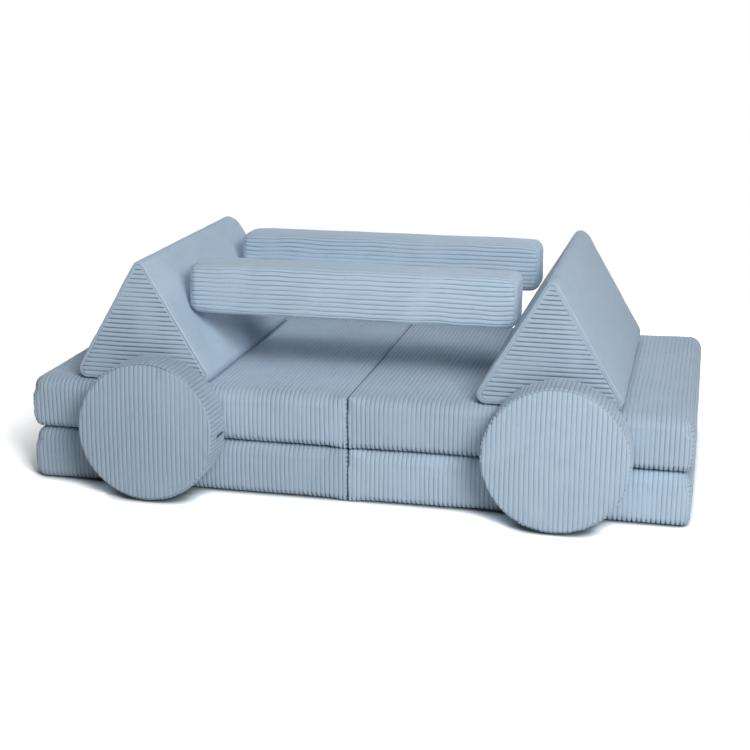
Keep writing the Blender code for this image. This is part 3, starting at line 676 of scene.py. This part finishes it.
def make_wedge(name, wrap, seed, looks, press):
    """Cover of a wedge: a band round its slopes and base, and two end panels."""
    low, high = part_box(name + "_cover")
    corner = Vector(((low.x + high.x) / 2, low.y + CROWN, low.z))
    length = high.y - corner.y
    straight = length - 2 * EDGE_TURN
    across, count = rib_lines(straight, RIB_FINE)
    pitch = straight / count
    beyond = rib_lines(wrap + EDGE_TURN * math.pi / 2, RIB_FINE, pitch)[0][1:]
    path = np.concatenate([-beyond[::-1], across, straight + beyond])
    points, normals = [], []
    for place in path:
        end = -1 if place < straight / 2 else 1
        past = max(-place, place - straight, 0.0)
        angle = min(past / EDGE_TURN, math.pi / 2)
        inset = EDGE_TURN * (1 - math.cos(angle)) + max(0.0, past - EDGE_TURN * math.pi / 2)
        y = EDGE_TURN + min(max(place, 0.0), straight) + end * EDGE_TURN * math.sin(angle)
        outline, outward = wedge_outline(inset, y, length - y)
        points.append(np.insert(outline, 1, y, axis=1))
        normals.append(np.insert(outward * math.cos(angle), 1, end * math.sin(angle), axis=1))
    columns = len(points[0])
    points, normals = np.concatenate(points), np.concatenate(normals)
    places = np.repeat(path, columns)
    distance = np.minimum(places - path[0], path[-1] - places)
    tuck = np.where(distance < ON_FACE, -SEAM_TUCK, 0.0)
    points = wandering(points + np.array(corner), normals, (1,), seed)
    band, pile_shade = dressed(points, normals, places / pitch, distance, seed, marks=tuck, seam=WEDGE_SEAM)
    quads = grid_quads(len(path), columns, closed=True)[:, ::-1]
    sheets = [(band, quads, pile_shade)]
    for end in (-1, 1):
        sheets.append(wedge_end(name, end, corner, length, EDGE_TURN + wrap, seed + 7 + end, press))
    finish_cover(join_sheets(name + "_cloth", sheets), name, looks)


def wedge_end(name, end, corner, length, inset, seed, press):
    """A rounded triangular end panel with level ribs, tucked into the seam round it."""
    slope = math.atan2(WEDGE_HEIGHT, WEDGE_BASE / 2)
    outline = wedge_outline(inset - SEAM_LAP, *((0.0, length) if end < 0 else (length, 0.0)))[0]
    right = outline[outline[:, 0] >= 0]
    right = right[np.argsort(right[:, 1])]
    bottom, top = right[0, 1] + ON_FACE, right[-1, 1] - ON_FACE
    z, count = rib_lines(top - bottom, RIB_FINE)
    z = np.sort(np.concatenate([z + bottom, bottom + np.array(EDGE_LINES[1:4])]))
    across = np.array([*(share - 1 for share in WEDGE_EDGE_SHARES),
                       *np.linspace(-WEDGE_MIDDLE_SHARE, WEDGE_MIDDLE_SHARE, WEDGE_MIDDLE_LINES),
                       *(1 - share for share in WEDGE_EDGE_SHARES[::-1])])
    middle, slot_length = zip_middle(name + "_zip")
    slot_z = middle.z - corner.z
    if end > 0:
        z = with_slot(z, slot_z, SLOT_HALF)
        wide = np.interp(slot_z, right[:, 1], right[:, 0])
        wall, step = slot_length / 2 / wide, SLOT_WALL / wide
        across = np.array(sorted({*across, -wall - step, -wall, wall, wall + step}))
    zz = np.repeat(z, len(across))
    half_width = np.interp(zz, right[:, 1], right[:, 0])
    xx = np.tile(across, len(z)) * half_width
    slant = (half_width - np.abs(xx)) * math.sin(slope)
    distance = np.minimum(np.minimum(slant, zz - bottom), top - zz)
    rise = zz / WEDGE_HEIGHT
    left = (1 - rise) / 2 + xx / WEDGE_BASE
    plain = np.sqrt(np.clip(27 * rise * left * (1 - rise - left), 0, 1))
    yy = np.full(len(xx), length if end > 0 else 0.0)
    points = np.stack([xx, yy, zz], axis=1) + np.array(corner)
    if end < 0:
        points[:, 1] -= CROWN * crown(press, points, Vector((0, -1, 0)), plain)
    normals = np.tile(np.array([0.0, float(end), 0.0]), (len(points), 1))
    # Painted shade: the end's grooves go past the ribs' full depth and are painted darker
    kept, marks = WEDGE_END_RIB_DEPTH_AND_SHADE, 0.0
    if end > 0:
        slot, beside = slot_marks(xx, zz - slot_z, slot_length)
        marks = np.where(beside < LIP_WIDTH, slot, 0.0)
        kept = kept * smooth(0.0, LIP_WIDTH, beside)
    marks = np.where(distance < 2 * ON_FACE, -SEAM_TUCK, marks)
    points = wandering(points, normals, (2,), seed)
    phase = (zz - bottom) / (top - bottom) * count
    points, pile_shade = dressed(points, normals, phase, distance, seed, kept, TUCKED_FADE, marks, WEDGE_SEAM)
    quads = grid_quads(len(z), len(across))
    return points, quads if end < 0 else quads[:, ::-1], pile_shade


def disc_matrix(name):
    """Place and lean of a disc, from its middle."""
    low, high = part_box(name + "_core")
    return Matrix.Translation((low + high) / 2) @ Matrix.Rotation(-DISC_LEAN, 4, "X")


def make_disc(name, seed, looks, press):
    """Cover of a disc: a rim with ribs across it and two round panels."""
    radius, flat_half = DISC_DIAMETER / 2, DISC_THICKNESS / 2 - EDGE_TURN
    angles, count = rib_lines(math.tau, RIB_FINE, RIB_PITCH / radius)
    zip_centre = DISC_ZIP_FROM + DISC_ZIP_SWEEP / 2
    angles = with_slot(angles[:-1] * radius, zip_centre * radius, DISC_ZIP_SWEEP * radius / 2) / radius
    arc = np.linspace(RIM_SEAM_TURN, 0, RIM_ARC_POINTS)
    flat = coarse_lines(2 * flat_half, RIM_LINES, RIB_PITCH)[1:-1] - flat_half
    flat = with_slot(flat, 0.0, SLOT_HALF)
    turns = np.concatenate([arc, np.zeros(len(flat)), arc[::-1]])
    ways = np.concatenate([-np.ones(len(arc)), np.zeros(len(flat)), np.ones(len(arc))])
    out = radius - EDGE_TURN + EDGE_TURN * np.cos(turns)
    along = ways * (flat_half + EDGE_TURN * np.sin(turns))
    along[len(arc):-len(arc)] = flat
    travelled = np.concatenate([[0.0], np.cumsum(np.hypot(np.diff(out), np.diff(along)))])
    distance = np.repeat(np.minimum(travelled, travelled[-1] - travelled), len(angles))
    a, rows = np.tile(angles, len(out)), len(out)
    out, along = np.repeat(out, len(angles)), np.repeat(along, len(angles))
    turns, ways = np.repeat(turns, len(angles)), np.repeat(ways, len(angles))
    points = np.stack([out * np.cos(a), along, out * np.sin(a)], axis=1)
    normals = np.stack([np.cos(turns) * np.cos(a), ways * np.sin(turns),
                        np.cos(turns) * np.sin(a)], axis=1)
    slot, beside = slot_marks((a - zip_centre) * radius, along, DISC_ZIP_SWEEP * radius)
    slit = rim_slit(a, along, radius, count) if name == DISCS[0] else 0.0
    marks = np.where(beside < LIP_WIDTH, slot, -SLIT_DEPTH * slit)
    marks = np.where(distance < ON_FACE, -SEAM_TUCK, marks)
    kept = smooth(0.0, LIP_WIDTH, beside)
    phase = a / math.tau * count
    rim, pile_shade = dressed(points, normals, phase, distance, seed, kept, CUT_FADE, marks, DISC_SEAM)
    # Painted shade: the inside of the slit is painted near black
    pile_shade -= 2 * slit
    sheets = [(rim, grid_quads(rows, len(angles), closed=True), pile_shade)]
    for end in (-1, 1):
        sheets.append(disc_face(name, end, radius, seed + 5 + end, press))
    cover = join_sheets(name + "_cloth", sheets)
    cover.data.transform(disc_matrix(name))
    finish_cover(cover, name, looks)


def rim_slit(angle, along, radius, count):
    """1 in a short slit across the back half of a rim, in the groove nearest to its angle."""
    rib = math.tau / count
    groove = round(SLIT_ANGLE / rib) * rib
    off = np.abs((angle - groove + math.pi) % math.tau - math.pi) * radius
    beside = smooth(SLIT_WIDTH / 3, SLIT_WIDTH, off)
    return (1 - beside) * smooth(SLIT_FROM, SLIT_FROM + SLIT_WIDTH, along)


def disc_face(name, end, radius, seed, press):
    """A round panel with upright ribs, crowned on the front."""
    reach = radius - EDGE_TURN + EDGE_TURN * math.cos(RIM_SEAM_TURN) + DISC_LAP
    x, count = rib_lines(2 * reach, RIB_FINE)
    x = x - reach
    shares = np.array(DISC_SHARES)
    shares = np.concatenate([shares, 1 - shares[-2::-1]]) * 2 - 1
    tall = np.sqrt(np.clip(reach ** 2 - x ** 2, ON_FACE ** 2, None))
    xx = np.repeat(x, len(shares))
    zz = np.repeat(tall, len(shares)) * np.tile(shares, len(x))
    rho = np.maximum(np.hypot(xx, zz), ON_FACE)
    beyond = np.clip(rho - (radius - EDGE_TURN), 0, EDGE_TURN) / EDGE_TURN
    level = DISC_THICKNESS / 2 - EDGE_TURN + EDGE_TURN * np.sqrt(1 - beyond ** 2)
    points = np.stack([xx, end * level, zz], axis=1)
    if end < 0:
        matrix = np.array(disc_matrix(name))
        placed = points @ matrix[:3, :3].T + matrix[:3, 3]
        plain = np.clip(1 - (rho / radius) ** 4, 0, 1)
        points[:, 1] -= CROWN * crown(press, placed, Vector(-matrix[:3, 1]), plain)
    normals = np.stack([xx / rho * beyond, end * np.sqrt(1 - beyond ** 2), zz / rho * beyond], axis=1)
    distance = reach - rho
    marks = np.where(distance < ON_FACE, -SEAM_TUCK, 0.0)
    points = wandering(points, normals, (0,), seed)
    phase = (xx + reach) / (2 * reach) * count
    points, pile_shade = dressed(points, normals, phase, distance, seed, DISC_RIB_DEPTH, CUT_FADE, marks,
                           DISC_SEAM)
    quads = grid_quads(len(x), len(shares))
    return points, quads if end > 0 else quads[:, ::-1], pile_shade


def straight_run(name):
    """Where a straight zip lies: a function of (along, across, height), and its length."""
    middle, length = zip_middle(name + "_zip")
    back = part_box(name + "_cover")[1].y
    return lambda along, across, height: np.stack(
        [middle.x + along, back + height, middle.z + across], axis=1), length


def rim_run(name):
    """Where a disc's zip lies round its rim, and its length."""
    radius = DISC_DIAMETER / 2
    centre = DISC_ZIP_FROM + DISC_ZIP_SWEEP / 2
    matrix = np.array(disc_matrix(name))

    def place(along, across, height):
        angle = centre + along / radius
        out = radius + height
        local = np.stack([out * np.cos(angle), across, out * np.sin(angle)], axis=1)
        return local @ matrix[:3, :3].T + matrix[:3, 3]

    return place, DISC_ZIP_SWEEP * radius


def make_zip(name, run, looks):
    """Tape and interlocked coil behind the opening of one cover."""
    place, length = run
    rows = round(length / TOOTH_PITCH) * TOOTH_SAMPLES + 1
    along = np.linspace(-length / 2, length / 2, rows)
    tape_half = SLOT_HALF - TAPE_GAP
    coil = np.linspace(-COIL_HALF, COIL_HALF, COIL_POINTS)
    across = np.array([-tape_half, -(tape_half + COIL_HALF) / 2, *coil,
                       (tape_half + COIL_HALF) / 2, tape_half, tape_half, -tape_half])
    under = np.arange(len(across)) >= len(across) - 2
    aa, cc = np.repeat(along, len(across)), np.tile(across, rows)
    lower = np.tile(under, rows)
    dome = np.sqrt(np.clip(1 - (cc / COIL_HALF) ** 2, 0, 1))
    tooth = 0.5 + 0.5 * np.cos(math.tau * (aa / TOOTH_PITCH + 0.5 * (cc > 0)))
    height = TAPE_TOP + COIL_HEIGHT * dome * (1 - TOOTH_SHARE + TOOTH_SHARE * tooth)
    height = np.where(lower, TAPE_TOP - TAPE_THICKNESS, height)
    points = place(aa, cc, height)
    piece = make_mesh(name + "_zip_tape", points, grid_quads(rows, len(across), closed=True))
    piece.data.materials.append(looks["zip"])
    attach(piece, name)
    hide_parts(name + "_zip")


def make_stitches(name, run, looks):
    """Two rows of thread that hold the tape, one beside each lip of the opening."""
    place, length = run
    count = round(length / STITCH_PITCH)
    middles = (np.arange(count) + 0.5) * length / count - length / 2
    rings = np.array(STITCH_RINGS)
    girth = np.array(STITCH_GIRTHS) * STITCH_RADIUS
    turns = np.arange(STITCH_SIDES) * math.tau / STITCH_SIDES
    step = rings.repeat(STITCH_SIDES) * STITCH_LENGTH
    side = np.outer(girth, np.cos(turns)).ravel()
    rise = np.outer(girth, np.sin(turns)).ravel()
    one = grid_quads(len(rings), STITCH_SIDES, closed=True)[:, ::-1]
    points, quads = [], []
    for row, way in enumerate((-1, 1)):
        offset = way * (SLOT_HALF + STITCH_OFFSET)
        aa = (middles[:, None] + step).ravel()
        cc = offset + np.tile(side, count)
        points.append(place(aa, cc, LIP_HEIGHT + np.tile(rise, count)))
        starts = (np.arange(count) + row * count) * len(step)
        quads.append((one + starts[:, None, None]).reshape(-1, 4))
    piece = make_mesh(name + "_zip_stitches", np.concatenate(points), np.concatenate(quads))
    piece.data.materials.append(looks["thread"])
    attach(piece, name)


def make_fold_cloth(fold, looks):
    """The ribbed cloth under a fold, tucked in under both panels and creased between them."""
    low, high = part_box(fold + "_left_cover")
    centre = high.x + FOLD_GAP / 2
    front, back = high.y - MATTRESS_DEPTH + FOLD_CLOTH_INSET, high.y - FOLD_CLOTH_INSET
    y = coarse_lines(back - front) + front
    reach = FOLD_CLOTH_HALF + FOLD_CLOTH_TUCK
    x = np.linspace(-reach, reach, FOLD_CLOTH_LINES)
    across = x / FOLD_CLOTH_HALF
    arch = FOLD_CLOTH_LIFT + FOLD_CLOTH_ARCH * np.sqrt(np.clip(1 - across ** 2, 0, 1))
    arch += FOLD_CLOTH_SLOPE * np.clip(np.abs(x) - FOLD_CLOTH_HALF, 0, None)
    ribs = (1 - np.abs(np.sin(across * math.pi))) * FOLD_CLOTH_THICKNESS / 2
    section = np.concatenate([np.stack([x, arch - ribs], axis=1),
                              np.stack([x, arch + FOLD_CLOTH_THICKNESS], axis=1)[::-1]])
    # Painted shade in the grooves of the cloth's underside
    pile_shade = np.tile(np.concatenate([1 - ribs / ribs.max(), np.ones(len(x))]), len(y))
    points = np.concatenate([np.insert(section, 1, place, axis=1) for place in y])
    points += np.array([centre, 0.0, low.z])
    quads = grid_quads(len(y), len(section), closed=True)[:, ::-1]
    piece = make_mesh(fold + "_fold_cloth", points, quads, pile_shade)
    piece.data.materials.append(looks["corduroy"])
    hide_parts(fold + "_hinge_strip")
    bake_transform(piece)


def make_shader(name):
    """A new material with its nodes and its Principled shader."""
    material = bpy.data.materials.new(name)
    material.use_nodes = True
    return material, material.node_tree, material.node_tree.nodes["Principled BSDF"]


def set_inputs(node, values):
    """Give a node's inputs plain values."""
    for name, value in values.items():
        node.inputs[name].default_value = value


def mix_colour(tree, factor, first, second):
    """A colour mix whose inputs are sockets or colours."""
    mix = tree.nodes.new("ShaderNodeMix")
    mix.data_type = "RGBA"
    for socket, value in ((mix.inputs[0], factor), (mix.inputs[6], first), (mix.inputs[7], second)):
        if isinstance(value, bpy.types.NodeSocket):
            tree.links.new(value, socket)
        else:
            socket.default_value = value
    return mix.outputs[2]


def noise(tree, scale, detail=2.0, roughness=0.5):
    """A noise over the object."""
    coordinates = tree.nodes.new("ShaderNodeTexCoord")
    texture = tree.nodes.new("ShaderNodeTexNoise")
    set_inputs(texture, {"Scale": scale, "Detail": detail, "Roughness": roughness})
    tree.links.new(coordinates.outputs["Object"], texture.inputs["Vector"])
    return texture.outputs["Fac"]


def stripes(tree, scale, axis):
    """Fine threads across one axis of the object."""
    coordinates = tree.nodes.new("ShaderNodeTexCoord")
    wave = tree.nodes.new("ShaderNodeTexWave")
    wave.wave_type = "BANDS"
    wave.bands_direction = axis
    set_inputs(wave, {"Scale": scale, "Distortion": 0.4})
    tree.links.new(coordinates.outputs["Object"], wave.inputs["Vector"])
    return wave.outputs["Fac"]


def ramp(tree, value, low, high, to_low=0.0, to_high=1.0):
    """A value stretched from one range to another and kept inside it."""
    node = tree.nodes.new("ShaderNodeMapRange")
    set_inputs(node, {"From Min": low, "From Max": high, "To Min": to_low, "To Max": to_high})
    tree.links.new(value, node.inputs["Value"])
    return node.outputs["Result"]


def add_bump(tree, shader, height, distance, strength=0.5):
    """Fine relief that is too small for the mesh."""
    bump = tree.nodes.new("ShaderNodeBump")
    set_inputs(bump, {"Strength": strength, "Distance": distance})
    tree.links.new(height, bump.inputs["Height"])
    tree.links.new(bump.outputs["Normal"], shader.inputs["Normal"])


def make_corduroy():
    """Corduroy of cut fibres: painted shade in its grooves, seams and slit, soft sheen on its ribs,
    uneven tone, and each block painted lighter or darker as a whole for how the lie of its fibres
    catches the light.
    """
    material, tree, shader = make_shader("corduroy")
    pile_shade = tree.nodes.new("ShaderNodeAttribute")
    pile_shade.attribute_name = "pile_shade"
    nap_shade = tree.nodes.new("ShaderNodeAttribute")
    nap_shade.attribute_name = "nap_shade"
    # Painted shade: the cloth's own light blue on the ribs turns to a dark blue in the grooves and
    # seams, where shade falls
    light, groove_shade, hole_shade = (0.43, 0.54, 0.65, 1), (0.13, 0.185, 0.245, 1), (0.012, 0.02, 0.026, 1)
    base = mix_colour(tree, ramp(tree, pile_shade.outputs["Fac"], 0.0, 0.8), groove_shade, light)
    brushed = ramp(tree, noise(tree, 5.0, 4.0, 0.6), 0.5, 0.85, 0.0, 0.5)
    base = mix_colour(tree, brushed, base, (0.49, 0.60, 0.70, 1))
    handled = ramp(tree, noise(tree, 30.0, 3.0, 0.6), 0.5, 0.8, 0.0, 0.4)
    base = mix_colour(tree, handled, base, (0.34, 0.44, 0.545, 1))
    fibres = noise(tree, 900.0, 2.0, 0.7)
    base = mix_colour(tree, ramp(tree, fibres, 0.35, 0.75, 0.0, 0.25), base, (0.30, 0.39, 0.49, 1))
    # Painted shade: near black in the slit and in the deepest grooves
    base = mix_colour(tree, ramp(tree, pile_shade.outputs["Fac"], -1.0, 0.0), hole_shade, base)
    # Painted highlight and shade: each block's colour is made lighter or darker as a whole, for how the
    # lie of its fibres catches the light
    painted_block_shade = tree.nodes.new("ShaderNodeHueSaturation")
    tree.links.new(base, painted_block_shade.inputs["Color"])
    tree.links.new(ramp(tree, nap_shade.outputs["Fac"], -1.0, 1.0, 0.0, 2.0), painted_block_shade.inputs["Value"])
    tree.links.new(painted_block_shade.outputs["Color"], shader.inputs["Base Color"])
    set_inputs(shader, {"Roughness": 0.95, "Specular IOR Level": 0.15, "Sheen Weight": 0.35,
                        "Sheen Roughness": 0.45, "Sheen Tint": (0.80, 0.88, 1.0, 1)})
    add_bump(tree, shader, fibres, FIBRE_RELIEF)
    return material


def make_zip_look():
    """Woven polyester tape and matt plastic coil, a shade darker than the cloth."""
    material, tree, shader = make_shader("zip_tape")
    weave = stripes(tree, 900.0, "DIAGONAL")
    base = mix_colour(tree, weave, (0.20, 0.265, 0.33, 1), (0.29, 0.37, 0.45, 1))
    worn = ramp(tree, noise(tree, 60.0, 3.0), 0.45, 0.75, 0.0, 0.35)
    base = mix_colour(tree, worn, base, (0.36, 0.43, 0.50, 1))
    tree.links.new(base, shader.inputs["Base Color"])
    tree.links.new(ramp(tree, weave, 0.0, 1.0, 0.55, 0.8), shader.inputs["Roughness"])
    shader.inputs["Specular IOR Level"].default_value = 0.3
    add_bump(tree, shader, weave, THREAD_RELIEF)
    return material


def make_thread():
    """Twisted sewing thread with a faint shine."""
    material, tree, shader = make_shader("thread")
    twist = stripes(tree, 1400.0, "DIAGONAL")
    base = mix_colour(tree, twist, (0.26, 0.34, 0.42, 1), (0.50, 0.60, 0.70, 1))
    tree.links.new(base, shader.inputs["Base Color"])
    set_inputs(shader, {"Roughness": 0.6, "Sheen Weight": 0.2})
    add_bump(tree, shader, twist, THREAD_RELIEF)
    return material


def make_slider_look():
    """Grey enamelled metal, worn bright in patches."""
    material, tree, shader = make_shader("zip_slider")
    patches = noise(tree, 420.0, 5.0, 0.65)
    wear = ramp(tree, patches, 0.58, 0.66)
    base = mix_colour(tree, wear, (0.19, 0.25, 0.31, 1), (0.52, 0.53, 0.54, 1))
    tree.links.new(base, shader.inputs["Base Color"])
    tree.links.new(ramp(tree, wear, 0.0, 1.0, 0.15, 0.9), shader.inputs["Metallic"])
    tree.links.new(ramp(tree, patches, 0.3, 0.7, 0.32, 0.5), shader.inputs["Roughness"])
    add_bump(tree, shader, patches, WEAR_RELIEF, 0.3)
    return material


def mix_shaders(tree, factor, first, second):
    """A node that goes from the first shader to the second."""
    mix = tree.nodes.new("ShaderNodeMixShader")
    tree.links.new(factor, mix.inputs[0])
    tree.links.new(first.outputs[0], mix.inputs[1])
    tree.links.new(second.outputs[0], mix.inputs[2])
    return mix


def light_paths(tree):
    """1 for what the camera sees directly, mirrored or through glass, else 0."""
    path = tree.nodes.new("ShaderNodeLightPath")
    seen = path.outputs["Is Camera Ray"]
    for other in ("Is Glossy Ray", "Is Transmission Ray"):
        either = tree.nodes.new("ShaderNodeMath")
        either.operation = "MAXIMUM"
        tree.links.new(seen, either.inputs[0])
        tree.links.new(path.outputs[other], either.inputs[1])
        seen = either.outputs[0]
    return seen


def make_floor():
    """A pale floor that looks white away from the object, keeps its shadow and has a shadow painted on
    close to it.
    """
    material, tree, shader = make_shader("floor")
    set_inputs(shader, {"Base Color": FLOOR_COLOUR, "Roughness": 1.0, "Specular IOR Level": 0.0})
    # Painted shadow: the floor's colour turns grey-green where other surfaces are close
    near = tree.nodes.new("ShaderNodeAmbientOcclusion")
    near.inputs["Distance"].default_value = FLOOR_PAINTED_SHADOW_REACH
    bright = (FLOOR_GAIN, FLOOR_GAIN, FLOOR_GAIN, 1)
    seen = tree.nodes.new("ShaderNodeBsdfDiffuse")
    unshadowed_share = ramp(tree, near.outputs["AO"], *FLOOR_PAINTED_SHADOW_RANGE)
    tree.links.new(mix_colour(tree, unshadowed_share, FLOOR_PAINTED_SHADOW_COLOUR, bright), seen.inputs["Color"])
    white = tree.nodes.new("ShaderNodeEmission")
    place = tree.nodes.new("ShaderNodeTexCoord")
    away = tree.nodes.new("ShaderNodeVectorMath")
    away.operation = "LENGTH"
    tree.links.new(place.outputs["Object"], away.inputs[0])
    far = mix_shaders(tree, ramp(tree, away.outputs["Value"], *FLOOR_FADE), seen, white)
    whole = mix_shaders(tree, light_paths(tree), shader, far)
    tree.links.new(whole.outputs[0], tree.nodes["Material Output"].inputs["Surface"])
    bpy.ops.mesh.primitive_plane_add(size=FLOOR_SIZE, location=(0, 0, -FLOOR_DROP))
    floor = bpy.context.object
    floor.name = "floor"
    floor.data.materials.append(material)


def make_world():
    """Even daylight, white where the camera sees it."""
    world = bpy.data.worlds.new("studio")
    bpy.context.scene.world = world
    world.use_nodes = True
    tree = world.node_tree
    daylight = tree.nodes["Background"]
    set_inputs(daylight, {"Color": DAYLIGHT, "Strength": DAYLIGHT_STRENGTH})
    white = tree.nodes.new("ShaderNodeBackground")
    white.inputs["Color"].default_value = (1, 1, 1, 1)
    mix = mix_shaders(tree, light_paths(tree), daylight, white)
    tree.links.new(mix.outputs[0], tree.nodes["World Output"].inputs["Surface"])


def make_lamp(name, place, size, power):
    """A square soft box that faces the object."""
    data = bpy.data.lights.new(name, "AREA")
    data.shape = "SQUARE"
    data.size = size
    data.energy = power
    lamp = bpy.data.objects.new(name, data)
    bpy.context.scene.collection.objects.link(lamp)
    lamp.location = place
    lamp.rotation_euler = (Vector(LAMP_AIM) - Vector(place)).to_track_quat("-Z", "Y").to_euler()


def make_camera():
    """The photograph's viewpoint."""
    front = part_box("lower_left_cover")[1].y - MATTRESS_DEPTH
    data = bpy.data.cameras.new("camera")
    data.sensor_width = CAMERA_SENSOR
    data.lens = CAMERA_LENS
    camera = bpy.data.objects.new("camera", data)
    bpy.context.scene.collection.objects.link(camera)
    camera.location = Vector(CAMERA_PLACE) + Vector((0.0, front, 0.0))
    camera.rotation_euler = (math.pi / 2 - CAMERA_DOWN, 0.0, CAMERA_TURN)
    bpy.context.scene.camera = camera


def make_blocks(looks):
    """All ten covers."""
    presses = press_blocks()
    for name, side in PANELS.items():
        make_panel(name, side, SEEDS[name], looks, presses.get(name))
    for name in BARS:
        make_bar(name, SEEDS[name], looks, presses.get(name))
    for name, wrap in WEDGE_WRAPS.items():
        make_wedge(name, wrap, SEEDS[name], looks, presses.get(name))
    for name in DISCS:
        make_disc(name, SEEDS[name], looks, presses.get(name))


def make_fastenings(looks):
    """Zips, their stitches and sliders, and the cloth of the folds."""
    for name in BLOCKS:
        run = rim_run(name) if name in DISCS else straight_run(name)
        make_zip(name, run, looks)
        make_stitches(name, run, looks)
        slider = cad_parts[name + "_zip_slider"]
        slider.material_slots[0].material = looks["slider"]
    for fold in FOLDS:
        make_fold_cloth(fold, looks)


def main():
    """Dress every block, then set up the floor, the light and the camera."""
    looks = {"corduroy": make_corduroy(), "zip": make_zip_look(), "thread": make_thread(),
             "slider": make_slider_look()}
    make_blocks(looks)
    make_fastenings(looks)
    make_floor()
    make_world()
    for name, (place, size, power) in LAMPS.items():
        make_lamp(name, place, size, power)
    make_camera()
    bpy.context.scene.view_settings.view_transform = "Standard"


main()
